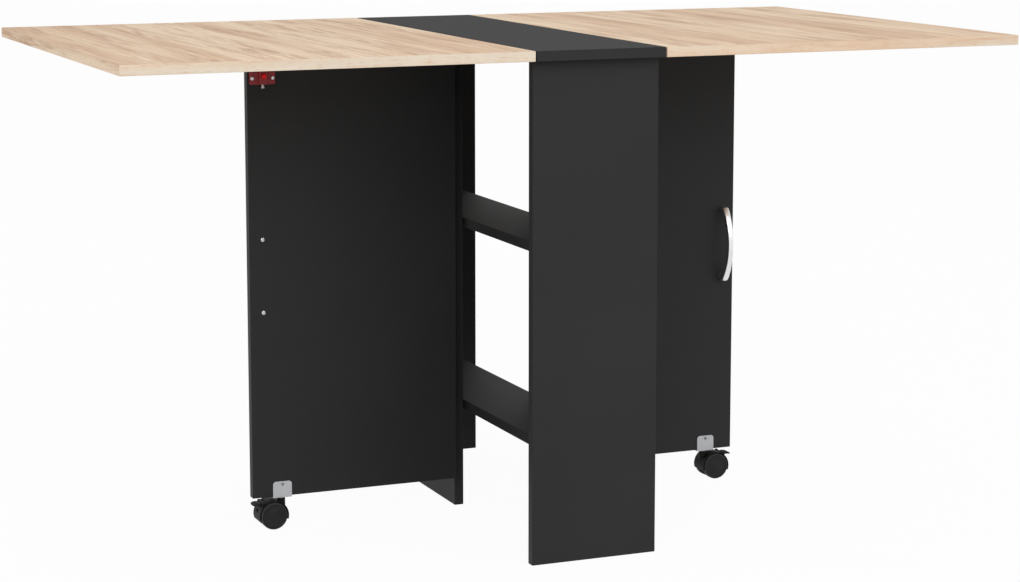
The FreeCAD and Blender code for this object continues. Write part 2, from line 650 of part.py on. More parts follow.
bore_r = AXLE_R + AXLE_CLEARANCE
bore_depth = WHEEL_WIDTH - WHEEL_SKIN + AXLE_CLEARANCE
dish = WHEEL_WIDTH - WHEEL_DISH
wheel_profile = [(bore_r, 0), (WHEEL_R - WHEEL_ROUND, 0), (WHEEL_R, WHEEL_ROUND),
                 (WHEEL_R, WHEEL_WIDTH - WHEEL_ROUND), (WHEEL_R - WHEEL_ROUND, WHEEL_WIDTH),
                 (WHEEL_DISH_R + WHEEL_DISH, WHEEL_WIDTH), (WHEEL_DISH_R, dish),
                 (WHEEL_CAP_R + WHEEL_DISH, dish), (WHEEL_CAP_R, WHEEL_WIDTH), (0, WHEEL_WIDTH),
                 (0, bore_depth), (bore_r, bore_depth)]
wheel_start = HOOD_WEB / 2 + WHEEL_SIDE_GAP
add_pair("caster_inner_wheel", [lathe(wheel_profile, axle_centre - Y * wheel_start, -Y)])
add_pair("caster_outer_wheel", [lathe(wheel_profile, axle_centre + Y * wheel_start, Y)])

# Brake lever: a barrel on trunnions, a paddle that a foot presses, and a toe over both treads


def brake():
    barrel = across_rod(brake_pivot, BRAKE_BARREL_R, brake_half)
    trunnions = across_rod(brake_pivot, BRAKE_TRUNNION_R, slot_side + BRAKE_TRUNNION)
    paddle_top = brake_pivot.z - BRAKE_PADDLE_DROP + BRAKE_PADDLE
    across = (gate_middle - brake_half, gate_middle + brake_half)
    paddle = box((brake_pivot.x - BRAKE_REACH, brake_pivot.x), across,
                 (paddle_top - BRAKE_PADDLE, paddle_top))
    tip = [edge for edge in edges_along(paddle, Z) if edge.CenterOfMass.x < brake_pivot.x - BRAKE_REACH / 2]
    paddle = paddle.makeFillet(BRAKE_CORNER, tip)
    toe_length = BRAKE_PIVOT_OUT - BRAKE_TOE_GAP
    toe = box((brake_pivot.x - BRAKE_TOE / 2, brake_pivot.x + BRAKE_TOE / 2), across,
              (brake_pivot.z - toe_length, brake_pivot.z))
    toe.rotate(brake_pivot, -Y, BRAKE_PIVOT_ANGLE - 90 - BRAKE_TOE_BACK_ANGLE)
    return joined([barrel, trunnions, paddle, toe])


add_pair("caster_brake", [brake()])

os.makedirs("parts", exist_ok=True)
for name, solids in nodes.items():
    shape = solids[0] if len(solids) == 1 else Part.makeCompound(solids)
    shape.exportStep("parts/" + name + ".step")
    print(name, len(solids), shape.isValid(), round(shape.Volume, 1))
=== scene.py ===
import math
import bmesh
import bpy
from mathutils import Matrix, Vector


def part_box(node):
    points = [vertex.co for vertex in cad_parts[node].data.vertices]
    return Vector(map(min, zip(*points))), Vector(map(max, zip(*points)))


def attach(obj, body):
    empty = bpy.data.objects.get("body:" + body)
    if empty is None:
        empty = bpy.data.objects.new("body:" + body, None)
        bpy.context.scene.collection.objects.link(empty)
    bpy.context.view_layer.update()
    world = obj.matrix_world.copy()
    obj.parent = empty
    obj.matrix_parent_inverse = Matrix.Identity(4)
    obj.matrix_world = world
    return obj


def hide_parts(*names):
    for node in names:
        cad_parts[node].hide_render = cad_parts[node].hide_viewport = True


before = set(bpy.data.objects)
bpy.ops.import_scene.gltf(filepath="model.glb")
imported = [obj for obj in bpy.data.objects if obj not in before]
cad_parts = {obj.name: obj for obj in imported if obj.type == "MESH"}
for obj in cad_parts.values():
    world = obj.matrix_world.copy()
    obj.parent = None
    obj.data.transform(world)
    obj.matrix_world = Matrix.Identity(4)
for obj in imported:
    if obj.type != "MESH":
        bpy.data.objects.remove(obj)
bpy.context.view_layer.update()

# Pedestal boards: 15 mm chipboard faced with matt black melamine that has a fine pearl texture.
# Every edge is banded with thin black strip, and the glue joint shows as a hairline on the faces.
# They are bored for dowels and cams, and the uprights stand on the floor. The strip on top is the dullest.

# Sizes are in metres and angles in degrees.
BAND = 0.0008
HAIRLINE = 0.00025
MELAMINE_DARK = (0.0150, 0.0150, 0.0153, 1)
MELAMINE_LIGHT = (0.0195, 0.0195, 0.0198, 1)
BAND_BLACK = (0.0200, 0.0200, 0.0203, 1)
GLUE_BLACK = (0.006, 0.006, 0.006, 1)
GLUE_SHARE = 0.7
MELAMINE_GLOSS = 0.24
BOARD_DULLNESS = 0.56
STRIP_DULLNESS = 0.72
FACE_DULLING = 0.06
CLOUD_DULLING = 0.08
# A noise is given by its cells to the metre along each axis, its layers of detail, and their roughness
# where that isn't the usual one. A relief is given by its strength and its height.
MELAMINE_CLOUD = ((5, 5, 5), 3)
PEARL = ((750, 750, 750), 1)
PEARL_RELIEF = (0.12, 0.0001)
CLOUD_SHARE = 0.6
NOISE_SPREAD = (0.3, 0.7)
FACING = (0.7, 0.8)
SHADER = "Principled BSDF"
# The numbers of a Mix node's two inputs and of its result, for colours and for vectors.
MIX_SOCKETS = {"RGBA": (6, 7, 2), "VECTOR": (4, 5, 1)}
UPRIGHTS_AND_SHELVES = ("front_end_panel", "rear_end_panel", "left_side_panel", "right_side_panel",
                        "upper_shelf", "lower_shelf")


class Shade:
    """A socket among a finish's nodes that takes part in arithmetic. Each operation adds a Math node."""

    def __init__(self, tree, socket=None):
        self.tree = tree
        self.socket = socket

    def node(self, kind, settings, values, output=0):
        """Add a node, set it, give its sockets their values or links, and return one of its outputs."""
        made = self.tree.nodes.new("ShaderNode" + kind)
        for name, setting in settings.items():
            setattr(made, name, setting)
        for name, value in values.items():
            if isinstance(value, Shade):
                self.tree.links.new(value.socket, made.inputs[name])
            else:
                made.inputs[name].default_value = value
        return Shade(self.tree, made.outputs[output])

    def math(self, operation, *values):
        return self.node("Math", {"operation": operation}, dict(enumerate((self, *values))))

    def vector_math(self, operation, *values):
        return self.node("VectorMath", {"operation": operation}, dict(enumerate((self, *values))))

    def __add__(self, other):
        return self.math("ADD", other)

    def __sub__(self, other):
        return self.math("SUBTRACT", other)

    def __mul__(self, other):
        return self.math("MULTIPLY", other)

    def __rsub__(self, other):
        return self.node("Math", {"operation": "SUBTRACT"}, {0: other, 1: self})

    __radd__ = __add__
    __rmul__ = __mul__

    def rise(self, low, high):
        """0 up to low, 1 from high on, and smooth between them."""
        return self.node("MapRange", {"interpolation_type": "SMOOTHSTEP"},
                         {"Value": self, "From Min": low, "From Max": high})

    def at_least(self, share):
        """This value from 0 to 1, brought up so that it starts at a share."""
        return self * (1 - share) + share

    def between(self, first, second, kind="RGBA"):
        """The colour, or the vector, that lies between two others by this value."""
        start, end, result = MIX_SOCKETS[kind]
        return self.node("Mix", {"data_type": kind}, {0: self, start: first, end: second}, result)

    def place(self):
        """Where the surface lies, in the piece's own coordinates."""
        return self.node("TexCoord", {}, {}, "Object")

    def noise(self, cells, detail, roughness=0.5):
        """Noise over this vector, with so many cells to the metre along each axis."""
        fitted = self.node("Mapping", {}, {"Vector": self, "Scale": cells})
        return self.node("TexNoise", {}, {"Vector": fitted, "Scale": 1.0, "Detail": detail,
                                          "Roughness": roughness})

    def mottled(self, fine, dark, light, share=0.5):
        """A colour between two others that follows this noise by a share, and a finer one by the rest."""
        mixed = self * share + fine * (1 - share)
        return mixed.rise(*NOISE_SPREAD).between(dark, light)

    def parts(self):
        """The three numbers of this vector."""
        split = self.node("SeparateXYZ", {}, {0: self})
        return [Shade(self.tree, socket) for socket in split.socket.node.outputs]

    def raised(self, strength, height):
        """Let this value stand out of the surface by so much."""
        self.node("Bump", {}, {"Strength": strength, "Distance": height, "Height": self}).feed("Normal")

    def feed(self, socket):
        """Lead this into a socket of the finish's own shader."""
        self.tree.links.new(self.socket, self.tree.nodes[SHADER].inputs[socket])


def new_finish(name, constants):
    """Start a finish with what is the same all over it, and return the place to add its nodes."""
    finish = bpy.data.materials.new(name)
    finish.use_nodes = True
    for socket, value in constants.items():
        finish.node_tree.nodes[SHADER].inputs[socket].default_value = value
    return Shade(finish.node_tree)


def paint(node, finish):
    """Give a node's own solids a finish."""
    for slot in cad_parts[node].material_slots:
        slot.material = bpy.data.materials[finish]


def middle_of(node):
    low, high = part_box(node)
    return (low + high) / 2


def size_of(node):
    low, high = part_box(node)
    return high - low


def thin_axis(size):
    """The number of the axis along which a size is smallest."""
    return min(range(3), key=lambda axis: size[axis])


def facing(start):
    """How far the surface looks along each axis, from 0 to 1."""
    normal = start.node("TexCoord", {}, {}, "Normal")
    return normal.vector_math("ABSOLUTE").parts()


def board_marks(start, board):
    """Where a board's surface lies: its place, 1 on its two faces, and how far in it is from the nearest
    banded edge."""
    size = size_of(board)
    thin = thin_axis(size)
    place = start.place()
    off_middle = place.vector_math("SUBTRACT", middle_of(board)).vector_math("ABSOLUTE").parts()
    across, along = [size[axis] / 2 - off_middle[axis] for axis in range(3) if axis != thin]
    return place, facing(start)[thin].rise(*FACING), across.math("MINIMUM", along)


def glue_line(on_face, from_edge):
    """1 on the hairline where a board's face meets its edge band."""
    return on_face * (1 - (from_edge - BAND).math("ABSOLUTE").rise(0.0, HAIRLINE))


def black_melamine(board, dullness=BOARD_DULLNESS):
    finish = board + "_melamine"
    start = new_finish(finish, {"Specular IOR Level": MELAMINE_GLOSS})
    place, on_face, from_edge = board_marks(start, board)
    cloud = place.noise(*MELAMINE_CLOUD)
    pearl = place.noise(*PEARL)
    glue = glue_line(on_face, from_edge)
    face = cloud.mottled(pearl, MELAMINE_DARK, MELAMINE_LIGHT, CLOUD_SHARE)
    banded = on_face.between(BAND_BLACK, face)
    (glue * GLUE_SHARE).between(banded, GLUE_BLACK).feed("Base Color")
    (on_face * FACE_DULLING + cloud * CLOUD_DULLING + dullness).feed("Roughness")
    (pearl * on_face - glue).raised(*PEARL_RELIEF)
    paint(board, finish)


black_melamine("center_top", STRIP_DULLNESS)
for board in UPRIGHTS_AND_SHELVES:
    black_melamine(board)

# Dowels, cam bolts and cams: fluted beech dowels glued into one board, steel bolts screwed into the
# other, and die-cast zinc cams let in flush with the board's face. A cross driver turns each cam to
# draw its bolt tight.

BEECH_PALE = (0.70, 0.52, 0.34, 1)
BEECH_DARK = (0.52, 0.35, 0.20, 1)
BEECH_GLOSS = 0.3
BEECH_DULLNESS = 0.55
BEECH_DULLING = 0.2
BEECH_FIBRE = ((1500, 1500, 300), 2)
BEECH_RELIEF = (0.2, 0.0001)
ZINC_DARK = (0.50, 0.50, 0.51, 1)
ZINC_LIGHT = (0.68, 0.68, 0.69, 1)
ZINC_DULLNESS = 0.32
ZINC_GRAIN = ((400, 400, 400), 2)
PLATING_CLOUD = ((60, 60, 60), 3)
PLATING_DULLING = 0.1
LINES_DULLING = 0.12
LINES_RELIEF = (0.06, 0.00005)
HEAD_SIDES = 24
CAM_ARM = 0.0050
CAM_SLOT = 0.0011
CAM_RECESS = 0.0022
CAM_EDGE = 0.0004
RECESS_TAPER = 0.8
MERGE = 1e-6
CREASE = 30
RIGHT = Vector((1, 0, 0))
BACK = Vector((0, 1, 0))
UP = Vector((0, 0, 1))


def beech():
    start = new_finish("beech_dowel", {"Specular IOR Level": BEECH_GLOSS})
    fibre = start.place().noise(*BEECH_FIBRE)
    fibre.rise(*NOISE_SPREAD).between(BEECH_PALE, BEECH_DARK).feed("Base Color")
    (fibre * BEECH_DULLING + BEECH_DULLNESS).feed("Roughness")
    fibre.raised(*BEECH_RELIEF)


def metal(name, dark, light, dullness, lines, bare=1.0):
    """A plated metal with faint clouding and fine lines drawn along their longest cells. Below 1, bare
    gives a plating that also scatters light."""
    start = new_finish(name, {"Metallic": bare})
    place = start.place()
    cloud = place.noise(*PLATING_CLOUD)
    drawn = place.noise(*lines)
    cloud.mottled(drawn, dark, light).feed("Base Color")
    (cloud * PLATING_DULLING + drawn * LINES_DULLING + dullness).feed("Roughness")
    drawn.raised(*LINES_RELIEF)


def members(node):
    """The lowest and highest corners of each separate solid of a node, from a merged copy of its mesh."""
    copy = bmesh.new()
    copy.from_mesh(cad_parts[node].data)
    bmesh.ops.remove_doubles(copy, verts=copy.verts, dist=MERGE)
    seen = set()
    boxes = []
    for first in copy.verts:
        if first in seen:
            continue
        seen.add(first)
        island = [first]
        for corner in island:
            for edge in corner.link_edges:
                other = edge.other_vert(corner)
                if other not in seen:
                    seen.add(other)
                    island.append(other)
        low = Vector(min(corner.co[axis] for corner in island) for axis in range(3))
        high = Vector(max(corner.co[axis] for corner in island) for axis in range(3))
        boxes.append((low, high))
    copy.free()
    return boxes


def push(shape, faces, offset):
    """Draw faces out of a shape, or sink them into it, and return them in their new place."""
    grown = bmesh.ops.extrude_face_region(shape, geom=faces)["geom"]
    bmesh.ops.delete(shape, geom=faces, context="FACES_KEEP_BOUNDARY")
    corners = [part for part in grown if isinstance(part, bmesh.types.BMVert)]
    bmesh.ops.translate(shape, verts=corners, vec=offset)
    return [part for part in grown if isinstance(part, bmesh.types.BMFace)]


def corners_of(parts):
    """The corners of faces or edges, each once."""
    return list({corner for part in parts for corner in part.verts})


def cut_at(shape, direction, *places):
    """Cut the faces of a shape through, square to a direction, at places along it."""
    for place in places:
        whole = shape.verts[:] + shape.edges[:] + shape.faces[:]
        bmesh.ops.bisect_plane(shape, geom=whole, plane_co=direction * place, plane_no=direction)


def cross_head(crown, rings, arm, slot, recess):
    """A round head with a cross recess in its top, at z = 0, and the (radius, height) rings below it. The
    cross's arms reach so far from the middle, and are a slot wide to each side of it."""
    shape = bmesh.new()
    bmesh.ops.create_circle(shape, cap_ends=True, radius=crown, segments=HEAD_SIDES)
    for direction in (RIGHT, BACK):
        cut_at(shape, direction, -arm, -slot, slot, arm)
    cross = []
    for face in shape.faces:
        near, far = sorted(abs(place) for place in face.calc_center_median().xy)
        if near < slot and far < arm:
            cross.append(face)
    floor = push(shape, cross, UP * -recess)
    bmesh.ops.scale(shape, verts=corners_of(floor), vec=(RECESS_TAPER, RECESS_TAPER, 1))
    rim = [edge for edge in shape.edges if edge.is_boundary]
    for radius, height in rings:
        grown = bmesh.ops.extrude_edge_only(shape, edges=rim)["geom"]
        rim = [part for part in grown if isinstance(part, bmesh.types.BMEdge) and part.is_boundary]
        for corner in corners_of(rim):
            corner.co = (*(corner.co.xy.normalized() * radius), height)
    bmesh.ops.holes_fill(shape, edges=rim)
    bmesh.ops.recalc_face_normals(shape, faces=shape.faces)
    return shape


def placed(shape, point, out):
    """Carry a shape made about z to a point, with its top looking along out."""
    turn = UP.rotation_difference(out).to_matrix().to_4x4()
    bmesh.ops.transform(shape, matrix=Matrix.Translation(point) @ turn, verts=shape.verts)
    return shape


def gathered(shapes):
    """Several shells as one mesh."""
    whole = bmesh.new()
    for shape in shapes:
        shell = bpy.data.meshes.new("shell")
        shape.to_mesh(shell)
        shape.free()
        whole.from_mesh(shell)
        bpy.data.meshes.remove(shell)
    return whole


def stand_in(name, shape, finish, body, node):
    """Finish a shape as the piece that stands for a node and rides on its body."""
    mesh = bpy.data.meshes.new(name)
    shape.to_mesh(mesh)
    shape.free()
    mesh.materials.append(bpy.data.materials[finish])
    mesh.shade_smooth()
    mesh.set_sharp_from_angle(angle=math.radians(CREASE))
    piece = bpy.data.objects.new(name, mesh)
    bpy.context.scene.collection.objects.link(piece)
    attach(piece, body)
    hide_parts(node)
    return piece


def cam(low, high):
    """A cam between two corners, with its cross looking down or towards the middle of the table."""
    size = high - low
    axis = thin_axis(size)
    middle = (low + high) / 2
    out = Vector((0, 0, 0))
    out[axis] = -1 if axis == 2 or middle[axis] > 0 else 1
    radius = max(size) / 2
    rings = [(radius, -CAM_EDGE), (radius, -size[axis])]
    head = cross_head(radius - CAM_EDGE, rings, CAM_ARM, CAM_SLOT, CAM_RECESS)
    return placed(head, middle + out * size[axis] / 2, out)


beech()
metal("zinc_cast", ZINC_DARK, ZINC_LIGHT, ZINC_DULLNESS, ZINC_GRAIN)
paint("panel_dowels", "beech_dowel")
paint("cam_bolts", "zinc_cast")
cams = gathered([cam(low, high) for low, high in members("cam_locks")])
stand_in("cam_discs", cams, "zinc_cast", "pedestal", "cam_locks")

# Hinges: pressed steel butt hinges, zinc plated, screwed on below the strip and leaves and on the outer
# faces of the side panels and gates. The pins are plain steel wire, and the screws have flat cross heads.

STEEL_DARK = (0.46, 0.46, 0.47, 1)
STEEL_LIGHT = (0.66, 0.66, 0.67, 1)
STEEL_DULLNESS = 0.3
STEEL_LINES = ((500, 500, 40), 2)
SCREW_DULLNESS = 0.26
SCREW_GRAIN = ((800, 800, 800), 2)
SCREW_POINT = 0.00005
SCREW_TIP = 0.002
SCREW_FLAT = 0.00012
# The cross recess, as shares of the radius of a head's crown.
CROSS_ARM = 0.66
CROSS_SLOT = 0.14
CROSS_DEPTH = 0.4
# The sizes of heads, shanks, bores, necks and stems, here and below, are radii.
HINGE_HEAD = 0.0026
HINGE_SHANK = 0.0014
HINGE_HEAD_DEPTH = 0.0012
HINGE_NODES = ("leaf_hinge_fixed_plates", "leaf_hinge_pins", "gate_hinge_fixed_plates", "gate_hinge_pins",
               "left_leaf_hinge_plates", "right_leaf_hinge_plates",
               "left_gate_hinge_plates", "right_gate_hinge_plates")
SIDES = ("left", "right")


def cross_screw(low, high, out, rings):
    """A screw between two corners, with its head at the end that out points to."""
    crown = rings[0][0]
    shank = rings[-1][0]
    length = max(high - low)
    stem = [(shank, SCREW_TIP - length), (SCREW_POINT, -length)]
    head = cross_head(crown, rings[1:] + stem, crown * CROSS_ARM, crown * CROSS_SLOT, crown * CROSS_DEPTH)
    return placed(head, (low + high) / 2 + out * length / 2, out)


def screws(name, node, rings, out_at, body, finish="zinc_screw"):
    """Screws with a cross recess for the plain ones of a node. out_at tells where a screw's head looks."""
    made = [cross_screw(low, high, out_at((low + high) / 2), rings) for low, high in members(node)]
    stand_in(name, gathered(made), finish, body, node)


def side_of(point, left):
    """A direction or place on the left of the table, turned round for a piece on the right."""
    return left if point.x < 0 else -left


def pedestal_hinge_out(point):
    return -UP if point.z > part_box("leaf_hinge_pins")[0].z else side_of(point, -RIGHT)


def leaf_hinge_out(point):
    return -UP


def gate_hinge_out(point):
    return side_of(point, BACK)


metal("hinge_steel_plated", STEEL_DARK, STEEL_LIGHT, STEEL_DULLNESS, STEEL_LINES)
metal("zinc_screw", ZINC_DARK, ZINC_LIGHT, SCREW_DULLNESS, SCREW_GRAIN)
for node in HINGE_NODES:
    paint(node, "hinge_steel_plated")
flat_head = [(HINGE_HEAD - SCREW_FLAT, 0), (HINGE_HEAD, -SCREW_FLAT), (HINGE_SHANK, -HINGE_HEAD_DEPTH)]
screws("pedestal_flat_screws", "pedestal_hinge_screws", flat_head, pedestal_hinge_out, "pedestal")
for side in SIDES:
    for board, out_at in (("_leaf", leaf_hinge_out), ("_gate", gate_hinge_out)):
        body = side + board
        screws(body + "_flat_screws", body + "_hinge_screws", flat_head, out_at, body)

# Leaves: the same chipboard faced with a pale oak decor whose grain runs from front to back, with
# matching oak strip on the edges, grained along each edge, with painted shade on the front and back
# edges and painted light on the end edges. A black bush for the catch's bolt is pressed into each
# underside.

OAK_PALE = (0.92, 0.725, 0.525, 1)
OAK_HONEY = (0.76, 0.535, 0.352, 1)
OAK_TAN = (0.63, 0.400, 0.252, 1)
OAK_BROWN = (0.40, 0.205, 0.115, 1)
# The edge strip's ground: darker on the front and back edges as painted shade, lighter on the end edges as
# painted light.
OAK_FRONT_EDGE_PAINTED_SHADE = (0.69, 0.605, 0.490, 1)
OAK_END_EDGE_PAINTED_LIGHT = (0.93, 0.735, 0.540, 1)
OAK_GLOSS = 0.25
OAK_DULLNESS = 0.52
FIBRE_DULLING = 0.14
PORE_DULLING = 0.1
FIBRE_RELIEF = 0.5
SAW_RELIEF = 0.4
OAK_RELIEF = (0.1, 0.0001)
GRAIN_WANDER = 0.03
NOISE_MIDDLE = 0.5
# The second number of cells is along the grain.
WANDER = ((2.5, 1.3, 2.5), 2)
BANDS = ((18, 0.9, 18), 2)
FIGURE = ((32, 2.4, 32), 2)
STREAKS = ((125, 3.4, 125), 3, 0.7)
DASHES = ((150, 12, 150), 3, 0.6)
FIBRE = ((480, 12, 480), 2, 0.6)
PORES = ((1300, 70, 1300), 1)
SAW_MARKS = ((40, 70, 40), 3, 0.7)
# Where a noise begins to show, and where it shows in full.
BANDS_SHOW = (0.38, 0.66)
GATHERING_SHOWS = (0.40, 0.62)
STREAKS_SHOW = (0.44, 0.60)
TAN_FIGURE = (0.44, 0.66)
TAN_DASHES = (0.38, 0.64)
HEART_FIGURE = (0.54, 0.68)
HEART_DASHES = (0.52, 0.66)
FIBRE_SHOWS = (0.0, 0.5)
PORES_SHOW = (0.6, 0.72)
# How much of each is laid over what is below it, or is there at least.
TAN_SHARE = 0.6
HEART_SHARE = 0.7
SAW_SHARE = 0.7
PORE_SHARE = 0.3
OAK_GLUE_SHARE = 0.4
LEAST_GATHERING = 0.25
FRONT_EDGE_FIGURE = 0.5


def oak_decor(board):
    finish = board + "_oak"
    start = new_finish(finish, {"Specular IOR Level": OAK_GLOSS})
    place, on_face, from_edge = board_marks(start, board)
    on_end = facing(start)[0].rise(*FACING)
    # The pattern is turned on the edges, so that its grain runs along them.
    x, y, z = place.parts()
    front_edge = start.node("CombineXYZ", {}, {0: z, 1: x, 2: y})
    end_edge = start.node("CombineXYZ", {}, {0: z, 1: y, 2: x})
    edge = on_end.between(front_edge, end_edge, "VECTOR")
    laid = on_face.between(edge, place, "VECTOR")
    wander = (laid.noise(*WANDER) - NOISE_MIDDLE) * GRAIN_WANDER
    grain = laid.vector_math("ADD", start.node("CombineXYZ", {}, {0: wander}))
    bands = grain.noise(*BANDS)
    figure = grain.noise(*FIGURE)
    streaks = grain.noise(*STREAKS)
    dashes = grain.noise(*DASHES)
    fibre = grain.noise(*FIBRE)
    pores = grain.noise(*PORES).rise(*PORES_SHOW)
    saw = laid.noise(*SAW_MARKS)
    glue = glue_line(on_face, from_edge)
    figured = on_face.math("MAXIMUM", on_end).at_least(FRONT_EDGE_FIGURE)
    gathering = figure.rise(*GATHERING_SHOWS).at_least(LEAST_GATHERING)
    dashed = figure.rise(*TAN_FIGURE) * dashes.rise(*TAN_DASHES) * figured
    heart = figure.rise(*HEART_FIGURE) * dashes.rise(*HEART_DASHES) * figured
    rough = (fibre - NOISE_MIDDLE + (saw - NOISE_MIDDLE) * SAW_SHARE).rise(*FIBRE_SHOWS)
    # Each colour is laid over the one before it, from the pale ground to the pores. The ground is darker
    # on
    #     # the front and back edges, as painted shade, and lighter on the end edges, as painted light.
    pale_with_painted_edge_light = on_face.between(on_end.between(OAK_FRONT_EDGE_PAINTED_SHADE, OAK_END_EDGE_PAINTED_LIGHT), OAK_PALE)
    banded = (bands.rise(*BANDS_SHOW) * figured).between(pale_with_painted_edge_light, OAK_HONEY)
    lined = (streaks.rise(*STREAKS_SHOW) * gathering * figured).between(banded, OAK_TAN)
    streaked = (dashed * TAN_SHARE).between(lined, OAK_TAN)
    hearted = (heart * HEART_SHARE).between(streaked, OAK_BROWN)
    fibred = rough.between(hearted, OAK_TAN)
    (pores * PORE_SHARE + glue * OAK_GLUE_SHARE).between(fibred, OAK_BROWN).feed("Base Color")
    (fibre * FIBRE_DULLING + pores * PORE_DULLING + OAK_DULLNESS).feed("Roughness")
    (fibre * FIBRE_RELIEF + saw * SAW_RELIEF - pores - glue).raised(*OAK_RELIEF)
    paint(board, finish)


for side in SIDES:
    oak_decor(side + "_leaf")

# Strikes: black moulded bushes, each pressed into a hole in a leaf's underside. A flared mouth leads the
# catch's bolt into the bore.

PLASTIC_DARK = (0.0075, 0.0075, 0.0077, 1)
PLASTIC_LIGHT = (0.0115, 0.0115, 0.0117, 1)
PLASTIC_DULLNESS = 0.42
PLASTIC_GLOSS = 0.1
FLOW_CLOUD = ((45, 45, 45), 3)
FLOW_DULLING = 0.1
SPARK_TEXTURE = ((1800, 1800, 1800), 2)
SPARK_DULLING = 0.08
SPARK_RELIEF = (0.1, 0.00008)
STRIKE_BORE = 0.005
STRIKE_FLOOR = 0.001
STRIKE_LEAD = 0.0008
LATHE_STEPS = 48


def moulded(name, dark, light, dullness, gloss):
    """A moulded plastic with a fine spark-eroded texture and faint flow clouding."""
    start = new_finish(name, {"Specular IOR Level": gloss})
    place = start.place()
    cloud = place.noise(*FLOW_CLOUD)
    texture = place.noise(*SPARK_TEXTURE)
    cloud.mottled(texture, dark, light).feed("Base Color")
    (cloud * FLOW_DULLING + texture * SPARK_DULLING + dullness).feed("Roughness")
    texture.raised(*SPARK_RELIEF)


def lathe(outline, point, out, steps=LATHE_STEPS):
    """Turn an outline of (radius, height) points round the axis that leaves a point along out."""
    shape = bmesh.new()
    corners = [shape.verts.new((radius, 0, height)) for radius, height in outline]
    edges = [shape.edges.new(ends) for ends in zip(corners, corners[1:])]
    bmesh.ops.spin(shape, geom=corners + edges, axis=UP, cent=(0, 0, 0), angle=math.tau, steps=steps,
                   use_merge=True)
    bmesh.ops.remove_doubles(shape, verts=shape.verts, dist=MERGE)
    on_axis = [edge for edge in shape.edges if edge.is_wire]
    bmesh.ops.delete(shape, geom=on_axis, context="EDGES")
    bmesh.ops.recalc_face_normals(shape, faces=shape.faces)
    return placed(shape, point, out)


def pair(name, node, shape, finish, body):
    """Finish the left piece and its twin on the right, which is the same piece turned half round."""
    pieces = []
    for side, angle in (("left_", 0.0), ("right_", math.pi)):
        copy = shape.copy()
        bmesh.ops.rotate(copy, cent=(0, 0, 0), matrix=Matrix.Rotation(angle, 3, "Z"), verts=copy.verts)
        pieces.append(stand_in(side + name, copy, finish, side + body, side + node))
    shape.free()
    return pieces


def upright(node):
    """The radius, the height and the middle of the foot of a round piece that stands upright."""
    size = size_of(node)
    middle = middle_of(node)
    return size.x / 2, size.z, Vector((middle.x, middle.y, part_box(node)[0].z))


def strike():
    radius, depth, mouth = upright("left_leaf_strike")
    floor = STRIKE_FLOOR - depth
    outline = [(0, floor), (STRIKE_BORE, floor), (STRIKE_BORE, -STRIKE_LEAD),
               (STRIKE_BORE + STRIKE_LEAD, 0), (radius, 0), (radius, -depth), (0, -depth)]
    return lathe(outline, mouth, -UP)


moulded("black_moulding", PLASTIC_DARK, PLASTIC_LIGHT, PLASTIC_DULLNESS, PLASTIC_GLOSS)
pair("strike_bush", "leaf_strike", strike(), "black_moulding", "leaf")

# Gates: two more boards of the same black melamine, banded on all four edges. Each hangs by its hinges
# from a side panel, at the middle of the table's depth, and swings out below a leaf to carry it.

for side in SIDES:
    black_melamine(side + "_gate")

# Bow handles: cast in zinc and plated in satin chrome, with a flat front that is broad at the feet and
# narrow at the middle. Two pan-head screws come through the gate into each one's feet.

CHROME_DARK = (0.72, 0.72, 0.73, 1)
CHROME_LIGHT = (0.84, 0.84, 0.85, 1)
CHROME_DULLNESS = 0.2
CHROME_LINES = ((900, 900, 30), 2)
HANDLE_POST = 0.015
HANDLE_POST_INSIDE = 0.006
HANDLE_BAR = 0.0048
HANDLE_FOOT = 0.012
HANDLE_WAIST = 0.0084
# The power that a round section's places are raised to at the middle and at the ends, where lower is
# squarer, and the power of the place along the bow that leads from one to the other.
HANDLE_SQUARENESS = 0.42
HANDLE_END_SQUARENESS = 0.66
HANDLE_END_TURN = 6
HANDLE_SIDES = 16
HANDLE_STATIONS = 13
HANDLE_LEVELS = 2
FOOT_STATIONS = (0.0, 0.08, 0.5)
# A pan-head screw is given by the radius and height of its head and the radius of its shank. Its dome is
# given by shares of that radius and height.
HANDLE_SCREW = (0.0034, 0.0018, 0.002)
PAN_DOME = ((0.7, 0.0), (0.9, 0.22), (1.0, 0.55), (1.0, 1.0))


def bow_height(along, half, foot, top):
    """How far an arc stands out that rises from foot, at both ends of its width, to top at its middle."""
    rise = top - foot
    radius = (half * half + rise * rise) / (2 * rise)
    return top - radius + math.sqrt(radius * radius - along * along)


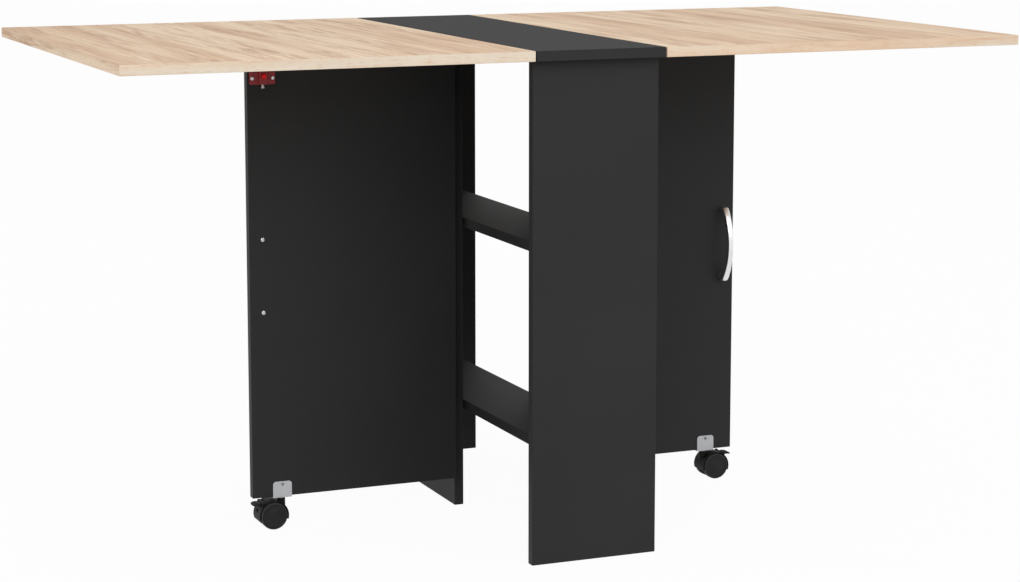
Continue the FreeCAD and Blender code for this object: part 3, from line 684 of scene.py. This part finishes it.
def handle():
    low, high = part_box("left_handle")
    middle = (low + high) / 2
    half = (high.z - low.z) / 2
    inside = half - HANDLE_FOOT
    depth = high.y - low.y
    foot_width = high.x - low.x
    stations = [(-1, step) for step in FOOT_STATIONS]
    stations += [(2 * number / (HANDLE_STATIONS - 1) - 1, 1) for number in range(HANDLE_STATIONS)]
    stations += [(1, step) for step in reversed(FOOT_STATIONS)]
    shape = bmesh.new()
    crease = shape.edges.layers.float.new("crease_edge")
    rings = []
    for share, step in stations:
        outer = Vector((0, bow_height(share * half, half, HANDLE_POST, depth) * step, share * half))
        inner_height = bow_height(share * inside, inside, HANDLE_POST_INSIDE, depth - HANDLE_BAR)
        inner = Vector((0, inner_height * step, share * inside))
        width = HANDLE_WAIST + (foot_width - HANDLE_WAIST) * share * share
        rounding = (HANDLE_END_SQUARENESS - HANDLE_SQUARENESS) * share ** HANDLE_END_TURN
        squareness = HANDLE_SQUARENESS + rounding
        ring = bmesh.ops.create_circle(shape, radius=1, segments=HANDLE_SIDES)["verts"]
        centre = Vector((middle.x, low.y, middle.z)) + (outer + inner) / 2
        for corner in ring:
            across, deep = [math.copysign(abs(place) ** squareness, place) for place in corner.co.xy]
            corner.co = centre + RIGHT * across * width / 2 + (outer - inner) / 2 * deep
        rings.append(list({edge for corner in ring for edge in corner.link_edges}))
    for first, second in zip(rings, rings[1:]):
        bmesh.ops.bridge_loops(shape, edges=first + second)
    for foot in (rings[0], rings[-1]):
        for edge in foot:
            edge[crease] = 1.0
        bmesh.ops.holes_fill(shape, edges=foot)
    bmesh.ops.recalc_face_normals(shape, faces=shape.faces)
    return shape


def smoothed(piece, levels):
    """Let a piece's surface flow through its corners."""
    flow = piece.modifiers.new("flow", "SUBSURF")
    flow.levels = levels
    flow.render_levels = levels


def pan_screws(name, node, sizes, out_at, finish="zinc_screw"):
    """Screws with domed heads on both gates."""
    radius, head, shank = sizes
    rings = [(radius * across, -head * down) for across, down in PAN_DOME] + [(shank, -head)]
    for side in SIDES:
        screws(side + name, side + node, rings, out_at, side + "_gate", finish)


def inner_face_out(point):
    return side_of(point, -BACK)


metal("satin_chrome", CHROME_DARK, CHROME_LIGHT, CHROME_DULLNESS, CHROME_LINES)
for bow in pair("bow_handle", "handle", handle(), "satin_chrome", "gate"):
    smoothed(bow, HANDLE_LEVELS)
pan_screws("_handle_pan_screws", "_handle_screws", HANDLE_SCREW, inner_face_out)

# Catches: a dark red moulded housing screwed to the gate's inner face, with a barrel that guides a steel
# bolt up to the leaf. The bolt has a flared tail below and a bright red thumb knob in front.

CATCH_RED_DARK = (0.200, 0.018, 0.022, 1)
CATCH_RED_LIGHT = (0.290, 0.030, 0.034, 1)
CATCH_GLOSS = 0.24
KNOB_RED_DARK = (0.70, 0.003, 0.005, 1)
KNOB_RED_LIGHT = (0.80, 0.006, 0.008, 1)
KNOB_GLOSS = 0.2
RED_DULLNESS = 0.3
BOLT_DARK = (0.74, 0.74, 0.75, 1)
BOLT_LIGHT = (0.88, 0.88, 0.89, 1)
BOLT_DULLNESS = 0.28
BOLT_LINES = ((800, 800, 60), 2)
BOLT_BARE = 0.5
CATCH_HEIGHT = 0.019
CATCH_FLANGE = 0.004
CATCH_BARREL = 0.013
CATCH_SLOT_HALF = 0.0019
CATCH_SLOT_DEPTH = 0.0013
CATCH_TRAVEL = 0.012
CATCH_ROUND = 0.0006
CATCH_CORNER = 0.0018
CATCH_CORNER_STEPS = 4
CATCH_SCREW = (0.003, 0.0018, 0.0014)
BOLT_NECK = 0.0016
BOLT_NECK_LENGTH = 0.002
BOLT_ROUND = 0.0008
KNOB_STEM = 0.0018
KNOB_THICKNESS = 0.005
KNOB_ROUND = 0.0012
KNOB_NECK = 0.0024
KNOB_LIP = 0.0022
KNOB_LIP_SHARE = 0.8
KNOB_HOLLOW = 0.0005
KNOB_HOLLOW_SHARE = 0.55
EASE_STEPS = 3
EASE_ANGLE = 40
ROUND_SHARE = 0.3
SQUARE_ON = 0.9


def block(low, high):
    """A plain box between two corners."""
    shape = bmesh.new()
    low = Vector(low)
    high = Vector(high)
    fit = Matrix.Translation((low + high) / 2) @ Matrix.Diagonal((*(high - low), 1))
    bmesh.ops.create_cube(shape, size=1, matrix=fit)
    return shape


def span(edge):
    """How far an edge runs along each axis."""
    first, second = edge.verts
    return Vector(abs(run) for run in first.co - second.co)


def round_over(shape, edges, radius, steps, clamp=False):
    """Round edges of a shape over. clamp keeps the rounding within what small faces leave it."""
    bmesh.ops.bevel(shape, geom=edges, offset=radius, segments=steps, profile=0.5, affect="EDGES",
                    material=-1, clamp_overlap=clamp)


def ease(shape, radius, steps=EASE_STEPS, sharper_than=EASE_ANGLE):
    """Round over the edges that turn by more than so many degrees."""
    limit = math.radians(sharper_than)
    sharp = [edge for edge in shape.edges if edge.is_manifold and edge.calc_face_angle() > limit]
    round_over(shape, sharp, radius, steps, clamp=True)


def flattened(pieces):
    """Shade the broad faces of pieces flat up to their rounded edges."""
    for piece in pieces:
        piece.modifiers.new("flat", "WEIGHTED_NORMAL").keep_sharp = True


def towards(shape, direction):
    """The faces of a shape that look along a direction."""
    shape.normal_update()
    return [face for face in shape.faces if face.normal.dot(direction) > SQUARE_ON]


def within(faces, direction, low, high):
    """Those faces whose middles lie between two places along a direction."""
    return [face for face in faces if low < face.calc_center_median().dot(direction) < high]


def rounded(radius, height, size):
    """The outline of a rounded corner, from just below a height to just inside a radius."""
    cut_off = size * ROUND_SHARE
    return [(radius, height - size), (radius - cut_off, height - cut_off), (radius - size, height)]


def catch_housing():
    low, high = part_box("left_catch_housing")
    middle = (low.x + high.x) / 2
    barrel = (middle - CATCH_BARREL / 2, middle + CATCH_BARREL / 2)
    front = high.y - CATCH_FLANGE
    shape = block((low.x, front, low.z), (high.x, high.y, low.z + CATCH_HEIGHT))
    corners = [edge for edge in shape.edges if span(edge).y > CATCH_FLANGE / 2]
    round_over(shape, corners, CATCH_CORNER, CATCH_CORNER_STEPS)
    cut_at(shape, RIGHT, *barrel)
    push(shape, within(towards(shape, UP), RIGHT, *barrel), (0, 0, high.z - low.z - CATCH_HEIGHT))
    push(shape, within(towards(shape, -BACK), RIGHT, *barrel), (0, low.y - front, 0))
    knob_height = middle_of("left_catch_knob").z
    slot_sides = (middle - CATCH_SLOT_HALF, middle + CATCH_SLOT_HALF)
    slot_ends = (knob_height - CATCH_SLOT_HALF, knob_height + CATCH_TRAVEL + CATCH_SLOT_HALF)
    cut_at(shape, RIGHT, *slot_sides)
    cut_at(shape, UP, *slot_ends)
    slot = within(within(towards(shape, -BACK), RIGHT, *slot_sides), UP, *slot_ends)
    push(shape, slot, (0, CATCH_SLOT_DEPTH, 0))
    ease(shape, CATCH_ROUND)
    bmesh.ops.recalc_face_normals(shape, faces=shape.faces)
    return shape


def catch_bolt():
    radius, length, foot = upright("left_catch_bolt")
    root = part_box("left_catch_housing")[0].z - foot.z
    outline = [(0, 0), (radius - BOLT_ROUND / 2, 0), (radius, BOLT_ROUND / 2),
               (BOLT_NECK, root - BOLT_NECK_LENGTH), (BOLT_NECK, root), (radius, root),
               (radius, length - BOLT_ROUND), (radius - BOLT_ROUND, length), (0, length)]
    return lathe(outline, foot, UP)


def catch_knob():
    size = size_of("left_catch_knob")
    radius = size.x / 2
    front = size.y
    back = front - KNOB_THICKNESS
    seat = middle_of("left_catch_knob") + BACK * front / 2
    outline = [(0, 0), (KNOB_STEM, 0), (KNOB_STEM, back), (KNOB_NECK, back), (KNOB_NECK, front - KNOB_LIP),
               (radius, front - KNOB_LIP * KNOB_LIP_SHARE), *rounded(radius, front, KNOB_ROUND),
               (radius * KNOB_HOLLOW_SHARE, front), (0, front - KNOB_HOLLOW)]
    return lathe(outline, seat, -BACK)


moulded("catch_red", CATCH_RED_DARK, CATCH_RED_LIGHT, RED_DULLNESS, CATCH_GLOSS)
moulded("knob_red", KNOB_RED_DARK, KNOB_RED_LIGHT, RED_DULLNESS, KNOB_GLOSS)
metal("bolt_nickel", BOLT_DARK, BOLT_LIGHT, BOLT_DULLNESS, BOLT_LINES, BOLT_BARE)
flattened(pair("catch_body", "catch_housing", catch_housing(), "catch_red", "gate"))
pair("slide_bolt", "catch_bolt", catch_bolt(), "bolt_nickel", "bolt")
pair("thumb_knob", "catch_knob", catch_knob(), "knob_red", "bolt")
pan_screws("_catch_pan_screws", "_catch_screws", CATCH_SCREW, inner_face_out)

# Leaf rests: round black moulded glides, each with a spike that is driven into a gate's top edge. The leaf
# lies on them, clear of the hinges' knuckles.

REST_SPIKE = 0.014
REST_SPIKE_RADIUS = 0.002
REST_ROUND = 0.001


def leaf_rest():
    radius, top, tip = upright("left_leaf_rest")
    outline = [(0, 0), (REST_SPIKE_RADIUS / 2, 0), (REST_SPIKE_RADIUS, REST_SPIKE_RADIUS),
               (REST_SPIKE_RADIUS, REST_SPIKE), (radius, REST_SPIKE), *rounded(radius, top, REST_ROUND),
               (0, top)]
    return lathe(outline, tip, UP)


pair("rest_glide", "leaf_rest", leaf_rest(), "black_moulding", "gate")

# Caster brackets: a folded steel clip in satin grey over the gate's bottom edge, held by a small screw in
# each cheek. The steel stem on which the caster swivels is riveted through the clip's floor.

BRACKET_DARK = (0.488, 0.500, 0.522, 1)
BRACKET_LIGHT = (0.530, 0.543, 0.566, 1)
BRACKET_GLOSS = 0.4
BRACKET_DULLNESS = 0.4
BRACKET_DULLING = 0.1
BRACKET_CLOUD = ((70, 70, 70), 3)
PEEL = ((900, 900, 900), 2)
PEEL_RELIEF = (0.08, 0.0001)
# The clip's screws are painted dark, as painted shade of the holes they sit in.
ZINC_PAINTED_SHADE_DARK = (0.20, 0.20, 0.205, 1)
ZINC_PAINTED_SHADE_LIGHT = (0.30, 0.30, 0.305, 1)
DULL_ZINC_DULLNESS = 0.4
BRACKET_SHEET = 0.0015
BRACKET_FLOOR = 0.002
BRACKET_CORNER = 0.005
BRACKET_CORNER_STEPS = 8
BRACKET_ROUND = 0.0004
BRACKET_ROUND_STEPS = 2
BRACKET_SHARP = 60
BRACKET_SCREW = (0.0022, 0.0014, 0.0013)


def bracket_paint():
    start = new_finish("bracket_grey", {"Specular IOR Level": BRACKET_GLOSS})
    place = start.place()
    cloud = place.noise(*BRACKET_CLOUD)
    peel = place.noise(*PEEL)
    cloud.mottled(peel, BRACKET_DARK, BRACKET_LIGHT, CLOUD_SHARE).feed("Base Color")
    (cloud * BRACKET_DULLING + BRACKET_DULLNESS).feed("Roughness")
    peel.raised(*PEEL_RELIEF)


def bracket():
    low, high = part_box("left_caster_bracket")
    folds = (low.y + BRACKET_SHEET, high.y - BRACKET_SHEET)
    shape = block(low, (high.x, high.y, low.z + BRACKET_FLOOR))
    cut_at(shape, BACK, *folds)
    top = towards(shape, UP)
    floor = within(top, BACK, *folds)
    rims = [face for face in top if face not in floor]
    push(shape, rims, (0, 0, high.z - low.z - BRACKET_FLOOR))
    corners = []
    for edge in shape.edges:
        height = min(corner.co.z for corner in edge.verts)
        if span(edge).y > BRACKET_SHEET / 2 and height > high.z - BRACKET_SHEET:
            corners.append(edge)
    round_over(shape, corners, BRACKET_CORNER, BRACKET_CORNER_STEPS)
    ease(shape, BRACKET_ROUND, BRACKET_ROUND_STEPS, BRACKET_SHARP)
    bmesh.ops.recalc_face_normals(shape, faces=shape.faces)
    return shape


def bracket_out(point):
    return BACK if point.y > side_of(point, middle_of("left_gate").y) else -BACK


bracket_paint()
# A dark zinc for the clip's screws, whose darkness is painted shade.
metal("zinc_painted_shade", ZINC_PAINTED_SHADE_DARK, ZINC_PAINTED_SHADE_LIGHT, DULL_ZINC_DULLNESS, SCREW_GRAIN)
flattened(pair("caster_clip", "caster_bracket", bracket(), "bracket_grey", "gate"))
pan_screws("_clip_screws", "_caster_bracket_screws", BRACKET_SCREW, bracket_out, "zinc_painted_shade")
for side in SIDES:
    paint(side + "_caster_stem", "hinge_steel_plated")

# Caster bodies: a black moulded fender over both wheels and the web between them, in one piece with the
# boss that turns on the stem and the ears that hold the brake lever. The steel axle is pressed in.

FENDER_WALL = 0.0013
FENDER_ROUND = 0.0006
FENDER_START = -16
FENDER_SWEEP = 216
FENDER_STEPS = 54
HOOD_WEB = 0.013
AXLE_BORE = 0.00205
WHEEL_RADIUS = 0.021
BOSS_RADIUS = 0.0064
BOSS_ROUND = 0.0008
BOSS_DEPTH = 0.020
BRAKE_OUT = 0.0035
BRAKE_ANGLE = 129
BRAKE_SLOT_HALF_ANGLE = 12
BRAKE_SLOT_DEPTH = 0.0011
BRAKE_HALF_WIDTH = 0.0113
BRAKE_EAR = 0.003
BRAKE_EAR_RADIUS = 0.0028
NOTCH_ANGLE = 163
NOTCH_HALF_ANGLE = 6.5
NOTCH_HALF_WIDTH = 0.0032
NOTCH_DEPTH = 0.0045

axle = middle_of("left_caster_axle")
brake_turn = math.radians(BRAKE_ANGLE)
brake_way = Vector((math.cos(brake_turn), 0, math.sin(brake_turn)))
brake_pivot = axle + brake_way * (WHEEL_RADIUS + BRAKE_OUT)


def pocket(shape, radius, angle, half_angle, half_width, depth):
    """Sink a pocket into the fender, round an angle about the axle."""
    outside = radius - FENDER_WALL / 4
    floor = []
    for face in shape.faces:
        centre = face.calc_center_median()
        off = math.degrees(math.atan2(centre.z, centre.x)) - angle
        if centre.xz.length > outside and abs(off) < half_angle and abs(centre.y) < half_width:
            floor.append(face)
    sunk = push(shape, floor, (0, 0, 0))
    shrink = 1 - depth / radius
    bmesh.ops.scale(shape, verts=corners_of(sunk), vec=(shrink, 1, shrink))


def fender(radius, half):
    inner = radius - FENDER_WALL
    web = HOOD_WEB / 2
    section = [(AXLE_BORE, -web), (inner, -web), (inner, -half), (radius, -half),
               (radius, half), (inner, half), (inner, web), (AXLE_BORE, web)]
    shape = bmesh.new()
    corners = [shape.verts.new((out, across, 0)) for out, across in section]
    edges = [shape.edges.new(ends) for ends in zip(corners, corners[1:] + corners[:1])]
    start = Matrix.Rotation(math.radians(-FENDER_START), 3, "Y")
    bmesh.ops.rotate(shape, cent=(0, 0, 0), matrix=start, verts=corners)
    bmesh.ops.spin(shape, geom=corners + edges, axis=-BACK, cent=(0, 0, 0),
                   angle=math.radians(FENDER_SWEEP), steps=FENDER_STEPS)
    bmesh.ops.holes_fill(shape, edges=[edge for edge in shape.edges if edge.is_boundary])
    bmesh.ops.recalc_face_normals(shape, faces=shape.faces)
    ease(shape, FENDER_ROUND)
    cut_at(shape, BACK, -BRAKE_HALF_WIDTH, BRAKE_HALF_WIDTH, -NOTCH_HALF_WIDTH, NOTCH_HALF_WIDTH)
    pocket(shape, radius, BRAKE_ANGLE, BRAKE_SLOT_HALF_ANGLE, BRAKE_HALF_WIDTH, BRAKE_SLOT_DEPTH)
    pocket(shape, radius, NOTCH_ANGLE, NOTCH_HALF_ANGLE, NOTCH_HALF_WIDTH, NOTCH_DEPTH)
    bmesh.ops.dissolve_degenerate(shape, edges=shape.edges, dist=MERGE)
    bmesh.ops.translate(shape, verts=shape.verts, vec=axle)
    return shape


def stud(radius, height, root, out):
    """A round stud that stands on a point along out, with its far edge taken off."""
    outline = [(0, 0), (radius, 0), (radius, height - BOSS_ROUND), (radius - BOSS_ROUND, height),
               (0, height)]
    return lathe(outline, root, out)


def caster_body():
    low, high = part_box("left_caster_hood")
    body = fender(axle.x - low.x, (high.y - low.y) / 2)
    boss_root = Vector((middle_of("left_caster_stem").x, axle.y, high.z - BOSS_DEPTH))
    boss = stud(BOSS_RADIUS, BOSS_DEPTH, boss_root, UP)
    ears = []
    for out in (-BACK, BACK):
        ears.append(stud(BRAKE_EAR_RADIUS, BRAKE_EAR, brake_pivot + out * BRAKE_HALF_WIDTH, out))
    return gathered([body, boss] + ears)


flattened(pair("caster_body", "caster_hood", caster_body(), "black_moulding", "caster"))
for side in SIDES:
    paint(side + "_caster_axle", "hinge_steel_plated")

# Wheels: hard black moulded wheels with a dished outer face round a cap, and a softer tyre of a greyer
# black moulded round them, with a rounded tread that stands out as a rim round the face. The tyre's greyer
# black is partly its own tone and partly a painted highlight round the rim.

WHEEL_DULLNESS = 0.34
WHEEL_GLOSS = 0.22
# The tyre's lighter black is partly its own tone and partly a painted highlight round the wheel's rim.
TYRE_AND_HIGHLIGHT_DARK = (0.034, 0.034, 0.0343, 1)
TYRE_AND_HIGHLIGHT_LIGHT = (0.044, 0.044, 0.0443, 1)
TYRE_DULLNESS = 0.5
TYRE_GLOSS = 0.2
WHEEL_ROUND = 0.0019
WHEEL_RIM = 0.0012
WHEEL_DISH = 0.0012
WHEEL_CAP = 0.006
WHEEL_STEPS = 72
TREAD_GROOVE = 0.0003
GROOVE_PLACES = (0.35, 0.65)


def wheel(node, out):
    size = size_of(node)
    middle = middle_of(node)
    radius = size.x / 2
    width = size.y
    rim = radius - WHEEL_ROUND - WHEEL_RIM
    dish = width - WHEEL_DISH
    cap = width - WHEEL_DISH / 2
    inner_corner = [(far, -along) for far, along in reversed(rounded(radius, 0, WHEEL_ROUND))]
    grooves = []
    for share in GROOVE_PLACES:
        place = width * share
        grooves += [(radius, place - TREAD_GROOVE), (radius - TREAD_GROOVE, place),
                    (radius, place + TREAD_GROOVE)]
    outline = [(AXLE_BORE, 0), *inner_corner, *grooves, *rounded(radius, width, WHEEL_ROUND),
               (rim + WHEEL_DISH, width), (rim, dish), (WHEEL_CAP + WHEEL_DISH, dish), (WHEEL_CAP, cap),
               (0, cap), (0, width / 2), (AXLE_BORE, width / 2), (AXLE_BORE, 0)]
    shape = lathe(outline, middle - out * width / 2, out, WHEEL_STEPS)
    # The tread and its rounded edges take the tyre's finish, with its painted highlight round the rim.
    for face in shape.faces:
        if (face.calc_center_median() - middle).xz.length > radius - WHEEL_ROUND:
            face.material_index = 1
    return shape


moulded("wheel_black", PLASTIC_DARK, PLASTIC_LIGHT, WHEEL_DULLNESS, WHEEL_GLOSS)
moulded("tyre_with_painted_highlight", TYRE_AND_HIGHLIGHT_DARK, TYRE_AND_HIGHLIGHT_LIGHT, TYRE_DULLNESS, TYRE_GLOSS)
for name, out in (("inner_wheel", -BACK), ("outer_wheel", BACK)):
    turned = wheel("left_caster_" + name, out)
    for piece in pair(name, "caster_" + name, turned, "wheel_black", name):
        piece.data.materials.append(bpy.data.materials["tyre_with_painted_highlight"])

# Brake levers: a black moulded paddle with grip ribs, on a barrel that snaps between the body's ears. Its
# toe presses on both treads when the paddle is trodden down.

BARREL_RADIUS = 0.0022
TRUNNION_RADIUS = 0.0014
TRUNNION = 0.0024
PADDLE = 0.0024
PADDLE_ROUND = 0.0009
PADDLE_CORNER = 0.0055
PADDLE_CORNER_STEPS = 8
PADDLE_RISE = 0.0016
PADDLE_CUTS = 7
RIBS = 3
RIB = 0.0009
RIB_HEIGHT = 0.0004
RIB_SPACING = 0.0024
RIB_WIDTH_SHARE = 0.6
TOE = 0.002
TOE_LENGTH = 0.0031
TOE_TURN = 25
BRAKE_PLAY = 0.0003


def brake():
    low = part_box("left_caster_brake")[0]
    half = BRAKE_HALF_WIDTH - BRAKE_PLAY
    pin = BRAKE_HALF_WIDTH + TRUNNION
    barrel = lathe([(0, -pin), (TRUNNION_RADIUS, -pin), (TRUNNION_RADIUS, -half), (BARREL_RADIUS, -half),
                    (BARREL_RADIUS, half), (TRUNNION_RADIUS, half), (TRUNNION_RADIUS, pin), (0, pin)],
                   brake_pivot, BACK)
    top = low.z + PADDLE
    length = brake_pivot.x - low.x
    paddle = block((low.x, axle.y - half, low.z), (brake_pivot.x, axle.y + half, top))
    tips = []
    for edge in paddle.edges:
        near = max(corner.co.x for corner in edge.verts)
        if near < brake_pivot.x - PADDLE and span(edge).z > PADDLE / 2:
            tips.append(edge)
    round_over(paddle, tips, PADDLE_CORNER, PADDLE_CORNER_STEPS)
    ease(paddle, PADDLE_ROUND)
    cut_at(paddle, RIGHT, *[low.x + length * number / PADDLE_CUTS for number in range(1, PADDLE_CUTS)])
    rib_half = half * RIB_WIDTH_SHARE
    ribs = []
    for number in range(RIBS):
        start = low.x + PADDLE_CORNER / 2 + number * RIB_SPACING
        rib_low = (start, axle.y - rib_half, top - RIB)
        rib_high = (start + RIB, axle.y + rib_half, top + RIB_HEIGHT)
        ribs.append(block(rib_low, rib_high))
    paddle = gathered([paddle] + ribs)
    for corner in paddle.verts:
        share = 2 * (corner.co.x - low.x) / length - 1
        corner.co.z += PADDLE_RISE * (1 - share * share)
    toe = block((-TOE / 2, -half, -TOE_LENGTH), (TOE / 2, half, 0))
    toe_turn = Matrix.Rotation(math.radians(-TOE_TURN), 3, "Y")
    bmesh.ops.rotate(toe, cent=(0, 0, 0), matrix=toe_turn, verts=toe.verts)
    bmesh.ops.translate(toe, verts=toe.verts, vec=brake_pivot)
    return gathered([barrel, paddle, toe])


flattened(pair("brake_lever", "caster_brake", brake(), "black_moulding", "brake"))

# Floor and light: a plain white floor that shows white to the eye and in reflections, and keeps a faint
# shadow. The light is even, from all round, with two broad soft lamps at the front left and front right.

FLOOR_HALF = 40.0
FLOOR_SHOWN_WHITE = 0.96
FLOOR_PAINT = (0.88, 0.88, 0.88, 1)
WHITE = (1, 1, 1, 1)
AMBIENT = 0.64
LAMPS = (((-2.2, -3.8, 2.6), 60.0), ((1.8, -3.6, 2.6), 45.0))
LAMP_SIZE = 2.6
LAMP_AIM = Vector((0, 0, 0.45))


def seen_directly(start):
    """1 for what the eye, a reflection or a clear piece sees, and 0 for light that falls on the object."""
    camera = start.node("LightPath", {}, {}, "Is Camera Ray")
    glossy = start.node("LightPath", {}, {}, "Is Glossy Ray")
    clear = start.node("LightPath", {}, {}, "Is Transmission Ray")
    return camera.math("MAXIMUM", glossy).math("MAXIMUM", clear)


def white_floor():
    start = new_finish("floor_white", {})
    tree = start.tree
    shown = start.node("Emission", {}, {"Color": WHITE, "Strength": 1.0})
    lit = start.node("BsdfDiffuse", {}, {"Color": FLOOR_PAINT})
    mixed = start.node("MixShader", {}, {0: seen_directly(start) * FLOOR_SHOWN_WHITE, 1: lit, 2: shown})
    tree.links.new(mixed.socket, tree.nodes["Material Output"].inputs["Surface"])
    tree.nodes.remove(tree.nodes[SHADER])


def even_sky():
    sky = bpy.data.worlds.new("even_sky")
    bpy.context.scene.world = sky
    sky.use_nodes = True
    strength = seen_directly(Shade(sky.node_tree)).at_least(AMBIENT)
    background = sky.node_tree.nodes["Background"]
    background.inputs["Color"].default_value = WHITE
    sky.node_tree.links.new(strength.socket, background.inputs["Strength"])


def soft_lamp(number, place, power):
    light = bpy.data.lights.new("soft_lamp_" + str(number), "AREA")
    light.size = LAMP_SIZE
    light.energy = power
    lamp = bpy.data.objects.new(light.name, light)
    lamp.location = place
    lamp.rotation_euler = (LAMP_AIM - Vector(place)).to_track_quat("-Z", "Y").to_euler()
    bpy.context.scene.collection.objects.link(lamp)


white_floor()
even_sky()
for number, (place, power) in enumerate(LAMPS):
    soft_lamp(number, place, power)
floor_shape = bmesh.new()
bmesh.ops.create_grid(floor_shape, x_segments=1, y_segments=1, size=FLOOR_HALF)
floor_mesh = bpy.data.meshes.new("floor")
floor_shape.to_mesh(floor_mesh)
floor_shape.free()
floor_mesh.materials.append(bpy.data.materials["floor_white"])
floor = bpy.data.objects.new("floor", floor_mesh)
bpy.context.scene.collection.objects.link(floor)
bpy.context.scene.view_settings.view_transform = "Standard"

# Camera: a long lens about a metre up, before the table's left front corner, looking a little down as the
# table is photographed. The frame is shifted down slightly, so that the uprights draw together less.

CAMERA_PLACE = (-1.5063, -3.6373, 1.0346)
CAMERA_AZIMUTH = 22.734
CAMERA_PITCH = 8.146
# The lens is in millimetres, and the shift a share of the frame's width.
CAMERA_LENS = 89.083
CAMERA_SHIFT = -0.08

camera_data = bpy.data.cameras.new("camera")
camera_data.lens = CAMERA_LENS
camera_data.shift_y = CAMERA_SHIFT
camera = bpy.data.objects.new("camera", camera_data)
camera.location = CAMERA_PLACE
camera.rotation_euler = (math.radians(90 - CAMERA_PITCH), 0, math.radians(-CAMERA_AZIMUTH))
bpy.context.scene.collection.objects.link(camera)
bpy.context.scene.camera = camera
